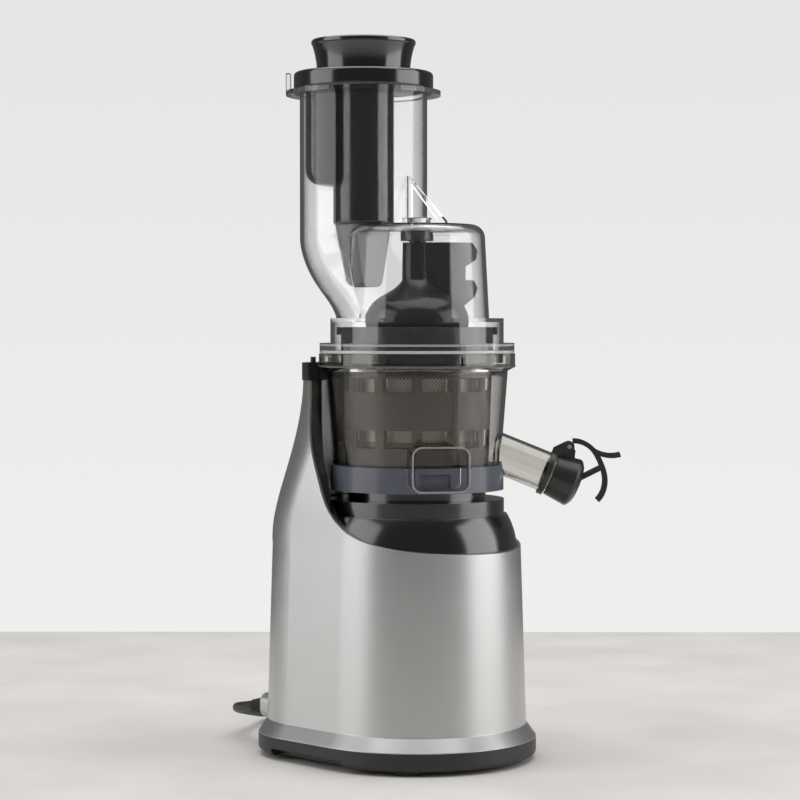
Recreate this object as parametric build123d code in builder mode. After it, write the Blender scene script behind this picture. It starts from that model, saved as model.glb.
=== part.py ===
"""Cold press juicer, in millimetres.

The origin is where the drive axis meets the surface that the juicer stands on.
+Z is up, -Y is the front and the feed chute stands behind the bowl, towards +Y.
The lead leaves the rear corner and its spare length is coiled behind the base.
"""

import os
from math import acos, copysign, cos, degrees, pi, radians, sin, tan

from build123d import *

os.makedirs("parts", exist_ok=True)

UP = (Align.CENTER, Align.CENTER, Align.MIN)

# ---------------------------------------------------------------- clearances
slip = 0.3  # between pieces that drop into or rest on each other
running = 0.05  # radial, a shaft in its bearing or bush
press = 0.02  # radial, a piece fixed on its shaft
thread_play = 0.06  # radial, a screw in its own hole

# ---------------------------------------------------------------- base and housing
foot_radius = 11.0
foot_height = 7.0
foot_recess = 4.2
foot_x = 50.0
foot_front = -42.0
foot_rear = 72.0
base_half_width = 80.0
base_rear = 104.0
base_rear_flat = 26.0  # half of the flat across the rear
base_corner = base_half_width - base_rear_flat
base_bottom = foot_height - foot_recess
base_floor_thickness = 6.2
base_floor = base_bottom + base_floor_thickness
base_height = 12.2
base_top = base_bottom + base_height
base_edge_radius = 3.5
rim_arch_rise = 4.8  # the arch in the rim on each side
rim_arch_depth = 9.0
rim_arch_front = -11.0
rim_arch_rear = 58.0
lip_height = 5.0
lip_thickness = 2.2

wall = 2.2
crease_height = 24.0
crease_narrowing = 6.6
waist_narrowing = 10.4
neck_top = 253.0

# each section: how far the half width, the rear face and the rear corner shrink
base_section = (base_half_width, base_rear, base_corner)
crease_section = (base_half_width - crease_narrowing, base_rear - 6.0, base_corner - 6.4)
waist_section = (base_half_width - waist_narrowing, base_rear - 7.5, base_corner - 7.0)
hip_section = (base_half_width - 10.8, base_rear - 8.5, base_corner - 7.0)
back_section = (base_half_width - 12.0, base_rear - 16.5, base_corner - 6.5)
nape_section = (base_half_width - 14.5, base_rear - 21.0, base_corner - 5.0)
throat_section = (base_half_width - 18.0, base_rear - 22.7, base_corner - 2.0)
neck_section = (base_half_width - 20.0, base_rear - 23.0, base_corner + 1.0)

# the line of the scooped front, in the middle plane: (Y, Z)
scoop_line = [
    (-78.0, 139.8),
    (-39.4, 144.7),
    (-16.6, 149.7),
    (1.0, 157.2),
    (14.3, 169.0),
    (24.7, 188.0),
    (37.4, 215.0),
    (43.4, 240.0),
    (45.6, 262.0),
]

# ---------------------------------------------------------------- seat of the bowl
seat_radius = 64.0
seat_wall = 2.5
seat_skirt_radius = 67.0
seat_skirt_bottom = 134.0
dome_foot = 142.0
dome_top = 164.0
seat_ring_radius = 58.3
seat_ring_top = 174.0
boss_radius = 46.0
boss_top = 180.0
cap_overhang = 0.8
cap_height = 11.7
cap_inner_radius = seat_radius + seat_wall
pin_radius = 1.8
pin_place = (-48.3, 50.2)
pin_flange = 0.4
pin_proud = 4.0
pin_travel = 3.0
pin_bottom = 234.0
switch_angle = 125.0

# ---------------------------------------------------------------- motor
stator_radius = 42.0
stator_bore = 22.6
stator_bottom = 34.0
stator_height = 40.0
stator_top = stator_bottom + stator_height
rotor_gap = 0.6
rotor_radius = stator_bore - rotor_gap
shaft_radius = 5.0
shaft_bottom = 10.5
bearing_radius = 11.0
bearing_height = 6.0
frame_plate = 3.0
frame_depth = 13.0
frame_wall = 7.0
bolt_circle = stator_radius - frame_wall / 2
motor_bolt_radius = 2.0
bolt_head_radius = 3.4
bolt_head_height = 3.0
winding_height = 6.0
mount_circle = 52.0
mount_radius = 7.0
mount_height = 6.0
fan_radius = 30.0
fan_height = 5.5
fan_blades = 9

lower_frame_bottom = stator_bottom - frame_depth - frame_plate
upper_frame_top = stator_top + frame_depth + frame_plate

# ---------------------------------------------------------------- gear train
gear_centres = 45.0
pressure_angle = 20.0
addendum = 0.7
dedendum = 1.25
backlash = 0.12
first_module = 1.0
first_pinion_teeth = 15
first_gear_teeth = 75
second_module = 1.25
second_pinion_teeth = 12
second_gear_teeth = 60
gearbox_gap = 3.0
gearbox_floor = upper_frame_top + gearbox_gap
gearbox_wall = 2.5
gearbox_radius = 42.5
first_pinion_bottom = gearbox_floor + 4.0
first_pinion_width = 10.0
first_gear_width = 8.0
second_pinion_width = 13.0
second_gear_width = 10.0
first_gear_bottom = first_pinion_bottom + 1.0
second_pinion_bottom = first_gear_bottom + first_gear_width
second_gear_bottom = first_pinion_bottom + first_pinion_width + 2.0
counter_radius = 4.0
bush_radius = 6.5
bush_height = 3.5
output_radius = 6.0
output_bearing_radius = 11.0
output_bearing_height = 8.0
tower_radius = 14.0
gearbox_split = second_gear_bottom + second_gear_width + 2.5
gearbox_top = gearbox_split + 3.5
tower_top = gearbox_top + 43.0
tower_bearing_top = tower_top - 5.0
ear_radius = 5.0
ear_x = gearbox_radius + bolt_head_radius + 0.8
ear_thickness = 10.0
seat_post_radius = 5.0
long_screw_radius = 1.8
hex_flats = 10.0
hex_bottom = 196.0
hex_top = 214.0

# ---------------------------------------------------------------- bowl
bowl_bottom = boss_top + slip
bowl_base_radius = 58.0
bowl_base_top = 197.0
bowl_base_plate = 3.0
bowl_skirt = 2.5
hub_radius = 13.0
hub_bore = 9.0
bowl_wall = 2.6
bowl_foot_radius = 56.0
bowl_neck_radius = 60.8
bowl_neck = 259.5
collar_bottom = 262.0
collar_radius = 65.7
collar_wall = 2.8
collar_top = 271.0
ledge_radius = 58.2
ledge_thickness = 2.0
ledge_half_angle = 15.5
window_angle = 230.0
window_half_angle = 22.0
window_bottom = 263.6
window_top = 268.8
lock_count = 3
rest_ledge_radius = 55.6

# ---------------------------------------------------------------- juice spout
spout_angle = -45.0
spout_slope = 22.0
spout_root_radius = 61.0
spout_root_height = 202.0
spout_outer = 13.4
spout_bore = 11.4
spout_inside = 11.0
spout_length = 31.0
spout_ring_start = 26.5
spout_ring_width = 3.5
spout_ring_wall = 2.2
juice_cap_gap = 0.5
juice_cap_depth = 16.0
juice_cap_rim = 14.4
juice_cap_end = 16.4
juice_cap_dome = 4.0
pin_along = 35.3
pin_above = 21.5
hinge_pin_radius = 1.5
knuckle_radius = 3.6
knuckle_width = 9.0
ear_plate = 2.2
lever_thickness = 3.2
lever_width = 10.0

# ---------------------------------------------------------------- pulp outlet
outlet_angle = 237.0
outlet_width = 38.0
outlet_height = 29.5
outlet_centre_height = 197.0
outlet_face = 75.0
outlet_wall = 2.0
outlet_corner = 6.0
duct_width = 20.0
duct_height = 9.0
duct_bottom = 184.0
duct_wall = 2.0
pulp_hole_radius = 7.0
pulp_tube_wall = 0.9

# ---------------------------------------------------------------- juicing set
brush_module = 1.5
auger_teeth = 20
idler_teeth = 14
ring_teeth = 48
brush_gear_bottom = 199.0
brush_gear_width = 6.0
idler_pin_radius = 2.5
cage_radius_top = 50.0
cage_radius_bottom = 48.0
cage_thickness = 2.4
cage_bottom = 198.2
cage_top = 257.5
cage_ribs = 12
window_rows = ((246.0, 255.0), (209.0, 221.0))
rib_width = 6.5
strainer_radius_top = 44.0
strainer_radius_bottom = 42.0
strainer_thickness = 2.0
strainer_bottom = 207.0
strainer_floor = 2.4
strainer_flange = 258.6
strainer_flange_thickness = 3.0
mesh_thickness = 0.5
top_ring_radius = 51.0
top_ring_thickness = 3.0
top_ring_height = 27.0
auger_neck_radius = 14.7
auger_column_radius = 9.6
auger_top = 345.0
auger_pivot_radius = 5.0
auger_pivot_top = 351.0
auger_body_radius = 30.0
auger_floor_gap = 0.6  # between the screw's foot and the strainer's floor
auger_foot = strainer_bottom + strainer_floor + auger_floor_gap
auger_screw_radius = 38.2
auger_blade_radius = 41.0
fin_root = 21.5  # how far out the fin's thick root reaches
fin_thickness = 3.2
socket_radius = 9.5
socket_depth = 19.0

# ---------------------------------------------------------------- lid and chute
lid_wall = 2.5
lid_flange_radius = 65.2
lid_flange_bottom = collar_top + slip + 0.4
lid_skirt_bottom = 278.0
lid_skirt_top = 294.5
lid_skirt_radius = 58.0
lid_spigot_radius = 57.6
lid_spigot_bottom = 264.8
tab_radius = 62.4
tab_height = 3.8
tab_half_angle = 14.0
lid_dome_foot = 48.3
lid_dome_radius = 45.0
lid_top = 357.0
lid_dome_corner = 9.0
lid_boss_radius = 9.7
lid_boss_height = 4.5
chute_outer = 43.5
chute_centre = 51.7
chute_top = 449.2
chute_straight = 350.0
rim_radius = 52.7
rim_thickness = 3.0
rim_tab_rise = 12.0
rim_tab_width = 13.0
rim_tab_angle = 135.0
gusset_height = 33.0
gusset_length = 35.5
gusset_thickness = 2.4
gusset_edge = 3.0

# ---------------------------------------------------------------- pusher
pusher_rest = chute_top + slip
pusher_flange_radius = 47.6
pusher_flange = 12.5
pusher_waist_radius = 31.8
pusher_cap_radius = 35.6
pusher_head_height = 34.5
pusher_top = pusher_rest + pusher_head_height
pusher_cap_band = 3.4
pusher_body_radius = 20.75
pusher_body_bottom = 358.5
pusher_rear_radius = 39.6
pusher_rear_start = 9.6
pusher_rear_bottom = 385.6
pusher_rear_corner = 10.0
pusher_body_corner = 2.0
pusher_wall = 2.5
nose_top_radius = 19.3
nose_tip_radius = 12.3
nose_bottom = 316.0
nose_wall = 2.0
fin_clearance = 2.5  # between the auger's fin and the flat on the pusher's nose
nose_front = auger_blade_radius + fin_clearance

# ---------------------------------------------------------------- rear and lead
rocker_height = 70.0
switch_seat = base_rear - 6.0
switch_width = 19.0
switch_tall = 28.0
switch_depth = 18.0
bezel_margin = 2.5
bezel_thickness = 2.0
rocker_width = 12.4
rocker_pocket_width = 13.0
rocker_pocket_tall = 23.4
rocker_pivot_depth = 3.0
rocker_stub_radius = 1.4
gland_x = -46.0
gland_z = 28.8
gland_face = 100.5
gland_width = 12.0
gland_tall = 16.5
relief_root_radius = 5.2
relief_tip_radius = 4.3
relief_length = 14.0
cord_diameter = 6.8
coil_centre = (75.0, 157.0)
coil_mean = 37.4
coil_columns = 3
coil_layers = 2
plug_x = coil_centre[0] + coil_mean + cord_diameter
plug_height = 14.0

# the route of the lead, from the strain relief to the coil
lead_route = [
    (-44.9, 114.3, 26.4),
    (-43.9, 127.1, 24.2),
    (-38.5, 140.1, 21.6),
    (-28.2, 151.7, 18.6),
    (-13.0, 160.4, 14.6),
    (4.0, 169.0, 10.6),
    (20.5, 179.4, 6.8),
    (37.0, 187.1, 4.4),
    (53.0, 195.2, 3.5),
]


# ---------------------------------------------------------------- shared shapes
def disc(low, high, radius, at=(0, 0), bore=0, mode=Mode.ADD):
    """An upright cylinder between two heights, with a bore through it."""
    with Locations((at[0], at[1], low)):
        Cylinder(radius, high - low, align=UP, mode=mode)
        if bore:
            Cylinder(bore, high - low, align=UP, mode=Mode.SUBTRACT)


def block(low, high, width, depth, at=(0, 0), turn=0, mode=Mode.ADD):
    """An upright box between two heights."""
    with Locations(Location((at[0], at[1], low), (0, 0, turn))):
        Box(width, depth, high - low, align=UP, mode=mode)


def turned(points, mode=Mode.ADD):
    """A solid of revolution about the drive axis from (radius, height) points."""
    with BuildSketch(Plane.XZ) as profile:
        with BuildLine():
            Polyline(*points, close=True)
        make_face()
    revolve(profile.sketch, axis=Axis.Z, mode=mode)


def upright_slot(rear, depth, width, tall, at, mode=Mode.ADD):
    """A bar of upright oval section that runs forwards from its rear face."""
    with BuildSketch(Plane.XZ.offset(-rear)) as oval:
        with Locations(at):
            SlotOverall(tall, width, rotation=90)
    extrude(oval.sketch, amount=depth, mode=mode)


def sector(low, high, inner, outer, angle, half_angle, mode=Mode.ADD):
    """Part of a ring about the drive axis, centred on one angle."""
    start = angle - half_angle
    with BuildSketch(Plane.XY.offset(low)) as piece:
        with BuildLine():
            outside = CenterArc((0, 0), outer, start, 2 * half_angle)
            inside = CenterArc((0, 0), inner, start, 2 * half_angle)
            Line(outside @ 0, inside @ 0)
            Line(outside @ 1, inside @ 1)
        make_face()
    extrude(piece.sketch, amount=high - low, mode=mode)


def outline(height, section, inset=0.0):
    """The housing's plan at one height: round in front, square-cornered behind."""
    half_width, rear, corner = (size - inset for size in section)
    with BuildSketch(Plane.XY.offset(height)) as plan:
        with BuildLine():
            CenterArc((0, 0), half_width, 180, 180)
            Line((half_width, 0), (half_width, rear - corner))
            CenterArc((half_width - corner, rear - corner), corner, 0, 90)
            Line((half_width - corner, rear), (corner - half_width, rear))
            CenterArc((corner - half_width, rear - corner), corner, 90, 90)
            Line((-half_width, rear - corner), (-half_width, 0))
        make_face()
    return plan.sketch


def housing_mass(inset):
    """The whole body from the base to the neck, shrunk by an inset."""
    heights = (142.0, 160.0, 186.0, 205.0, 226.0, neck_top)
    sections = (waist_section, hip_section, back_section, nape_section)
    sections += (throat_section, neck_section)
    upper = [outline(height, section, inset) for height, section in zip(heights, sections)]
    crease = outline(crease_height, crease_section, inset)
    with BuildPart() as mass:
        loft([outline(base_top, base_section, inset), crease], ruled=True)
        loft([crease, upper[0]], ruled=True)
        loft(upper)
    return mass.part


def scoop(back=0.0, down=0.0):
    """Everything in front of the scoop's line, which can be moved back and down."""
    line = [(y + back, z - down) for y, z in scoop_line]
    with BuildPart() as front:
        with BuildSketch(Plane.YZ):
            with BuildLine():
                Spline(*line)
                Polyline(line[-1], (line[-1][0], 320), (line[0][0] - 40, 320))
                Polyline((line[0][0] - 40, 320), (line[0][0] - 40, line[0][1]), line[0])
            make_face()
        extrude(amount=base_half_width + 20, both=True)
    return front.part


def involute(angle):
    """The involute function of an angle in radians."""
    return tan(angle) - angle


def toothed_disc(teeth, module, turn, root, tip, play):
    """A gear's plan, with involute flanks and one tooth centred on the turn angle."""
    pitch = teeth * module / 2
    base = pitch * cos(radians(pressure_angle))
    middle = pi / (2 * teeth) - play / (2 * pitch) + involute(radians(pressure_angle))
    start = max(base, root)
    radii = [root] if root < base else []
    radii += [start + (tip - start) * step / 4 for step in range(5)]
    flank = [(r, middle - involute(acos(min(1.0, base / r)))) for r in radii]
    points = []
    for tooth in range(teeth):
        centre = radians(turn) + 2 * pi * tooth / teeth
        rising = [(r, centre - half) for r, half in flank]
        falling = [(r, centre + half) for r, half in reversed(flank)]
        points += [(r * cos(a), r * sin(a)) for r, a in rising + falling]
    with BuildSketch() as plan:
        with BuildLine():
            Polyline(*points, close=True)
        make_face()
    return plan.sketch


def gear(teeth, module, turn, low, width, at=(0, 0), bore=0):
    """A spur gear with a bore."""
    pitch = teeth * module / 2
    plan = toothed_disc(teeth, module, turn, pitch - dedendum * module,
                        pitch + addendum * module, backlash)
    with BuildSketch(Plane.XY.offset(low)) as face:
        with Locations(at):
            add(plan)
            if bore:
                Circle(bore, mode=Mode.SUBTRACT)
    extrude(face.sketch, amount=width)


def polar(radius, angle):
    """A point of the plan from its radius and its angle in degrees."""
    return (radius * cos(radians(angle)), radius * sin(radians(angle)))


def tube(points, diameter):
    """A cord's tube along straight runs joined by tangent arcs, printing the radii."""
    vectors = [Vector(*point) for point in points]
    runs = [b - a for a, b in zip(vectors, vectors[1:])]
    radii = []
    for before, after in zip(runs, runs[1:]):
        half_turn = radians(before.get_angle(after)) / 2
        radii.append(0.45 * min(before.length, after.length) / tan(half_turn))
    print("cord radii", [round(radius, 1) for radius in radii])
    with BuildPart() as cord:
        with BuildLine() as route:
            FilletPolyline(*points, radius=radii)
        path = route.wire()
        with BuildSketch(Plane(origin=path @ 0, z_dir=path % 0)):
            Circle(diameter / 2)
        sweep(path=path)
    share = cord.part.volume / (path.length * pi * diameter**2 / 4)
    print("cord length", round(path.length, 1), "volume over section times length", round(share, 4))
    return cord.part


def save(name, piece):
    """Label a piece and write it to its file."""
    piece.label = name
    export_step(piece, f"parts/{name}.step")


# ---------------------------------------------------------------- base
foot_places = [(x, y) for x in (-foot_x, foot_x) for y in (foot_front, foot_rear)]
shell_boss_places = [(-65.0, 8.0), (65.0, 8.0), (-18.0, 90.0), (18.0, 90.0)]
mount_places = [polar(mount_circle, angle) for angle in (45, 135, 225, 315)]

with BuildPart() as base_plate:
    extrude(outline(base_bottom, base_section), amount=base_height)
    fillet(base_plate.edges().group_by(Axis.Z)[0], base_edge_radius)
    lip_inset = wall + slip + crease_narrowing + 0.6
    extrude(outline(base_top, base_section, lip_inset), amount=lip_height)
    extrude(outline(base_floor, base_section, lip_inset + lip_thickness),
            amount=base_top - base_floor + lip_height, mode=Mode.SUBTRACT)
    for place in foot_places:
        disc(base_bottom, base_bottom + foot_recess, foot_radius + slip, place, mode=Mode.SUBTRACT)
    for place in shell_boss_places:
        disc(base_floor, base_top + lip_height - 0.5, 4.6, place)
        disc(base_bottom, base_top + lip_height, long_screw_radius + thread_play, place,
             mode=Mode.SUBTRACT)
        disc(base_bottom, base_bottom + bolt_head_height, bolt_head_radius + slip, place,
             mode=Mode.SUBTRACT)
    for place in mount_places:
        disc(base_floor, lower_frame_bottom - mount_height, mount_radius, place)
    for row in range(-2, 3):
        block(base_bottom, base_floor, 44, 3, (0, 7 * row), mode=Mode.SUBTRACT)
    for side in (-1, 1):
        block(base_bottom, base_bottom + rim_arch_rise, 2 * rim_arch_depth,
              rim_arch_rear - rim_arch_front,
              (side * base_half_width, (rim_arch_rear + rim_arch_front) / 2), mode=Mode.SUBTRACT)
save("base_plate", base_plate.part)

with BuildPart() as feet:
    for place in foot_places:
        disc(0, foot_height, foot_radius, place)
    chamfer(feet.edges().group_by(Axis.Z)[0], 1.0)
save("feet", feet.part)

with BuildPart() as base_screws:
    for place in shell_boss_places:
        disc(base_bottom, base_bottom + bolt_head_height - slip, bolt_head_radius, place)
        disc(base_bottom + bolt_head_height - slip, base_top + lip_height + 12,
             long_screw_radius, place)
save("base_screws", base_screws.part)

# ---------------------------------------------------------------- housing shell
with BuildPart() as housing_shell:
    add(housing_mass(0.0))
    add(housing_mass(wall), mode=Mode.SUBTRACT)
    for place in shell_boss_places:
        disc(base_top + lip_height, base_top + lip_height + 18, 5.0, place)
    web_reach = 0.7 * wall
    for x, y in shell_boss_places:
        if abs(x) > 40:
            reach = crease_section[0] - web_reach - abs(x)
            block(base_top + lip_height, base_top + lip_height + 18, reach, 3,
                  (x + copysign(reach / 2, x), y))
        else:
            reach = crease_section[1] - web_reach - y
            block(base_top + lip_height, base_top + lip_height + 18, 3, reach, (x, y + reach / 2))
        disc(base_top + lip_height, base_top + lip_height + 18, long_screw_radius + thread_play,
             (x, y), mode=Mode.SUBTRACT)
    add(scoop(), mode=Mode.SUBTRACT)
    upright_slot(gland_face, 40, gland_width + 2 * slip, gland_tall + 2 * slip,
                 (gland_x, gland_z), mode=Mode.SUBTRACT)
    with Locations((0, switch_seat, rocker_height)):
        Box(switch_width + 2 * slip, 20, switch_tall + 2 * slip, mode=Mode.SUBTRACT)
save("housing_shell", housing_shell.part)

# ---------------------------------------------------------------- seat cover
seat_post_places = [(x, y) for x in (-ear_x, ear_x) for y in (0, gear_centres)]
peg_places = [polar(36.0, angle) for angle in (90, 210, 330)]
peg_radius = 3.0

with BuildPart() as behind_band:
    block(seat_skirt_bottom - 1, neck_top + 1, 400, 400)
    disc(seat_skirt_bottom - 1, neck_top + 1, seat_radius + seat_wall, mode=Mode.SUBTRACT)
    add(scoop(seat_wall, seat_wall), mode=Mode.SUBTRACT)

with BuildPart() as seat_cover:
    add(housing_mass(wall + slip))
    block(0, seat_skirt_bottom, 400, 400, mode=Mode.SUBTRACT)
    add(scoop(), mode=Mode.SUBTRACT)
    disc(0, neck_top + 1, seat_radius, mode=Mode.SUBTRACT)
    add(behind_band.part, mode=Mode.SUBTRACT)
    with BuildSketch(Plane.XZ):
        with BuildLine():
            skirt = Line((seat_skirt_radius, seat_skirt_bottom), (seat_skirt_radius, dome_foot))
            dome = ThreePointArc(skirt @ 1, (65.2, 152.5), (seat_ring_radius + 2, dome_top))
            Polyline(dome @ 1, (seat_ring_radius, dome_top), (seat_ring_radius, seat_ring_top),
                     (boss_radius, seat_ring_top), (boss_radius, boss_top), (8.0, boss_top),
                     (8.0, boss_top - 3), (boss_radius - 3, boss_top - 3),
                     (boss_radius - 3, seat_ring_top - 3), (seat_ring_radius - 3, seat_ring_top - 3),
                     (seat_ring_radius - 3, dome_top - 3))
            under = ThreePointArc((seat_ring_radius - 3, dome_top - 3), (61.6, 152.5),
                                  (seat_skirt_radius - 3, dome_foot))
            Polyline(under @ 1, (seat_skirt_radius - 3, seat_skirt_bottom), skirt @ 0)
        make_face()
    revolve(axis=Axis.Z)
    for place in seat_post_places:
        top = seat_ring_top - 2 if place[1] == 0 else dome_foot + 7
        disc(gearbox_top, top, seat_post_radius, place)
        disc(gearbox_top, gearbox_top + 16, long_screw_radius + thread_play, place,
             mode=Mode.SUBTRACT)
    for place in peg_places:
        disc(boss_top - 4, boss_top, peg_radius + slip, place, mode=Mode.SUBTRACT)
save("seat_cover", seat_cover.part)

with BuildPart() as neck_cap:
    extrude(outline(neck_top, neck_section, -cap_overhang), amount=cap_height)
    disc(neck_top, neck_top + cap_height, cap_inner_radius, mode=Mode.SUBTRACT)
    add(scoop(), mode=Mode.SUBTRACT)
    disc(neck_top, neck_top + cap_height, pin_radius + 2 * running, pin_place, mode=Mode.SUBTRACT)
    fillet(neck_cap.edges().group_by(Axis.Z)[-1].sort_by(SortBy.LENGTH)[-1], 2.0)
save("neck_cap", neck_cap.part)

neck_cap_top = neck_top + cap_height
to_switch = polar(2.6, 53.3)

with BuildPart() as interlock_pin:
    disc(pin_bottom, neck_cap_top + pin_proud, pin_radius, pin_place)
    block(neck_top - pin_travel - 1, neck_top - slip, 2 * pin_radius, pin_radius + pin_flange,
          (pin_place[0], pin_place[1] + (pin_radius + pin_flange) / 2))
    block(pin_bottom, pin_bottom + 2.5, 3, 8,
          (pin_place[0] + to_switch[0], pin_place[1] + to_switch[1]), -36.7)
save("interlock_pin", interlock_pin.part)

switch_body_top = pin_bottom - pin_travel - 1.4
switch_centre_radius = seat_radius + seat_wall + 2.6

with BuildPart() as interlock_switch:
    block(switch_body_top - 10, switch_body_top, 13, 5,
          polar(switch_centre_radius, switch_angle), switch_angle - 90)
    disc(switch_body_top, switch_body_top + 1.2, 1.2, polar(switch_centre_radius, switch_angle + 4))
save("interlock_switch", interlock_switch.part)

# ---------------------------------------------------------------- motor
bolt_places = [polar(bolt_circle, angle) for angle in (45, 135, 225, 315)]
standoff_places = [polar(bolt_circle - 2, angle) for angle in (0, 90, 180, 270)]

with BuildPart() as motor_mounts:
    for place in mount_places:
        disc(lower_frame_bottom - mount_height, lower_frame_bottom, mount_radius, place)
        disc(lower_frame_bottom, lower_frame_bottom + frame_plate + 3, 2.0, place)
save("motor_mounts", motor_mounts.part)

with BuildPart() as motor_frames:
    disc(lower_frame_bottom, lower_frame_bottom + frame_plate, stator_radius)
    disc(lower_frame_bottom + frame_plate, stator_bottom, stator_radius,
         bore=stator_radius - frame_wall)
    disc(lower_frame_bottom + frame_plate, lower_frame_bottom + frame_plate + bearing_height + 1,
         bearing_radius + 3, bore=bearing_radius + press)
    disc(upper_frame_top - frame_plate, upper_frame_top, stator_radius)
    disc(stator_top, upper_frame_top - frame_plate, stator_radius, bore=stator_radius - frame_wall)
    disc(upper_frame_top - frame_plate - bearing_height - 1, upper_frame_top - frame_plate,
         bearing_radius + 3, bore=bearing_radius + press)
    for place in standoff_places:
        disc(upper_frame_top, gearbox_floor, 4.0, place)
    for angle, place in zip((45, 135, 225, 315), mount_places):
        block(lower_frame_bottom, lower_frame_bottom + frame_plate, 20, 12,
              polar(mount_circle - 4, angle), angle)
        disc(lower_frame_bottom, lower_frame_bottom + frame_plate, 2.0 + thread_play, place,
             mode=Mode.SUBTRACT)
    for place in bolt_places:
        disc(lower_frame_bottom, upper_frame_top, motor_bolt_radius + thread_play, place,
             mode=Mode.SUBTRACT)
    disc(lower_frame_bottom, upper_frame_top, shaft_radius + 1, mode=Mode.SUBTRACT)
save("motor_frames", motor_frames.part)

with BuildPart() as motor_bolts:
    for place in bolt_places:
        disc(lower_frame_bottom, upper_frame_top, motor_bolt_radius, place)
        disc(upper_frame_top, upper_frame_top + gearbox_gap - slip, bolt_head_radius, place)
        disc(lower_frame_bottom - gearbox_gap + slip, lower_frame_bottom, bolt_head_radius, place)
save("motor_bolts", motor_bolts.part)

with BuildPart() as motor_bearings:
    for low in (lower_frame_bottom + frame_plate, upper_frame_top - frame_plate - bearing_height):
        disc(low, low + bearing_height, bearing_radius, bore=shaft_radius + running)
save("motor_bearings", motor_bearings.part)

with BuildPart() as stator:
    disc(stator_bottom, stator_top, stator_radius, bore=stator_bore)
    for place in bolt_places:
        disc(stator_bottom, stator_top, motor_bolt_radius + thread_play, place, mode=Mode.SUBTRACT)
save("stator", stator.part)

with BuildPart() as windings:
    for low in (stator_bottom - winding_height, stator_top):
        disc(low, low + winding_height, stator_radius - frame_wall - 0.5, bore=stator_bore + 2.4)
save("windings", windings.part)

shaft_top = first_pinion_bottom + first_pinion_width

with BuildPart() as rotor:
    disc(shaft_bottom, shaft_top, shaft_radius)
    disc(stator_bottom + 2, stator_top - 2, rotor_radius)
save("rotor", rotor.part)

with BuildPart() as cooling_fan:
    fan_bottom = shaft_bottom + 1
    for blade in range(fan_blades):
        angle = 360 * blade / fan_blades
        block(fan_bottom, fan_bottom + fan_height - 1, fan_radius - 8, 1.6,
              polar((fan_radius + 8) / 2, angle), angle + 12)
    disc(fan_bottom + fan_height - 1, fan_bottom + fan_height, fan_radius)
    disc(fan_bottom, fan_bottom + fan_height, 9.5)
    disc(fan_bottom, fan_bottom + fan_height, shaft_radius + press, mode=Mode.SUBTRACT)
save("cooling_fan", cooling_fan.part)

with BuildPart() as motor_pinion:
    gear(first_pinion_teeth, first_module, 90, first_pinion_bottom, first_pinion_width,
         bore=shaft_radius + press)
save("motor_pinion", motor_pinion.part)

# ---------------------------------------------------------------- gearbox
counter_place = (0, gear_centres)

screw_head_top = gearbox_top - ear_thickness - 3

with BuildPart() as gearbox_housing:
    with BuildSketch(Plane.XY.offset(gearbox_floor)) as plan:
        with Locations((0, gear_centres / 2)):
            SlotCenterToCenter(gear_centres, 2 * gearbox_radius, rotation=90)
    extrude(plan.sketch, amount=gearbox_split - gearbox_floor)
    for place in seat_post_places:
        block(screw_head_top, gearbox_split, abs(place[0]), 2 * ear_radius,
              (place[0] / 2, place[1]))
        disc(screw_head_top, gearbox_split, ear_radius, place)
        disc(screw_head_top, gearbox_split, long_screw_radius + thread_play, place,
             mode=Mode.SUBTRACT)
    with BuildSketch(Plane.XY.offset(gearbox_floor + gearbox_wall)) as bay:
        with Locations((0, gear_centres / 2)):
            SlotCenterToCenter(gear_centres, 2 * (gearbox_radius - gearbox_wall), rotation=90)
    extrude(bay.sketch, amount=gearbox_split, mode=Mode.SUBTRACT)
    disc(gearbox_floor, gearbox_floor + bush_height, bush_radius + 2.5, counter_place)
    disc(gearbox_floor, gearbox_floor + bush_height, bush_radius + press, counter_place,
         mode=Mode.SUBTRACT)
    disc(gearbox_floor, gearbox_floor + gearbox_wall, shaft_radius + 2, mode=Mode.SUBTRACT)
save("gearbox_housing", gearbox_housing.part)

with BuildPart() as gearbox_cover:
    with BuildSketch(Plane.XY.offset(gearbox_split)) as plan:
        with Locations((0, gear_centres / 2)):
            SlotCenterToCenter(gear_centres, 2 * gearbox_radius, rotation=90)
    extrude(plan.sketch, amount=gearbox_top - gearbox_split)
    for place in seat_post_places:
        disc(gearbox_split, gearbox_top, ear_radius, place)
        disc(gearbox_split, gearbox_top, long_screw_radius + thread_play, place, mode=Mode.SUBTRACT)
    disc(gearbox_split, tower_top, tower_radius)
    disc(gearbox_split, tower_top, output_radius + 2, mode=Mode.SUBTRACT)
    disc(gearbox_split, gearbox_split + output_bearing_height + 1, output_bearing_radius + press,
         mode=Mode.SUBTRACT)
    disc(tower_bearing_top - output_bearing_height, tower_top, output_bearing_radius + press,
         mode=Mode.SUBTRACT)
    disc(gearbox_split, gearbox_top, bush_radius + press, counter_place, mode=Mode.SUBTRACT)
save("gearbox_cover", gearbox_cover.part)

with BuildPart() as gearbox_screws:
    for place in seat_post_places:
        disc(screw_head_top - bolt_head_height, screw_head_top, bolt_head_radius, place)
        disc(screw_head_top, gearbox_top + 14, long_screw_radius, place)
save("gearbox_screws", gearbox_screws.part)

with BuildPart() as countershaft:
    disc(gearbox_floor + slip, gearbox_top - slip, counter_radius, counter_place)
save("countershaft", countershaft.part)

with BuildPart() as counter_bushes:
    for low in (gearbox_floor, gearbox_top - bush_height):
        disc(low, low + bush_height, bush_radius, counter_place, bore=counter_radius + running)
save("counter_bushes", counter_bushes.part)

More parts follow.
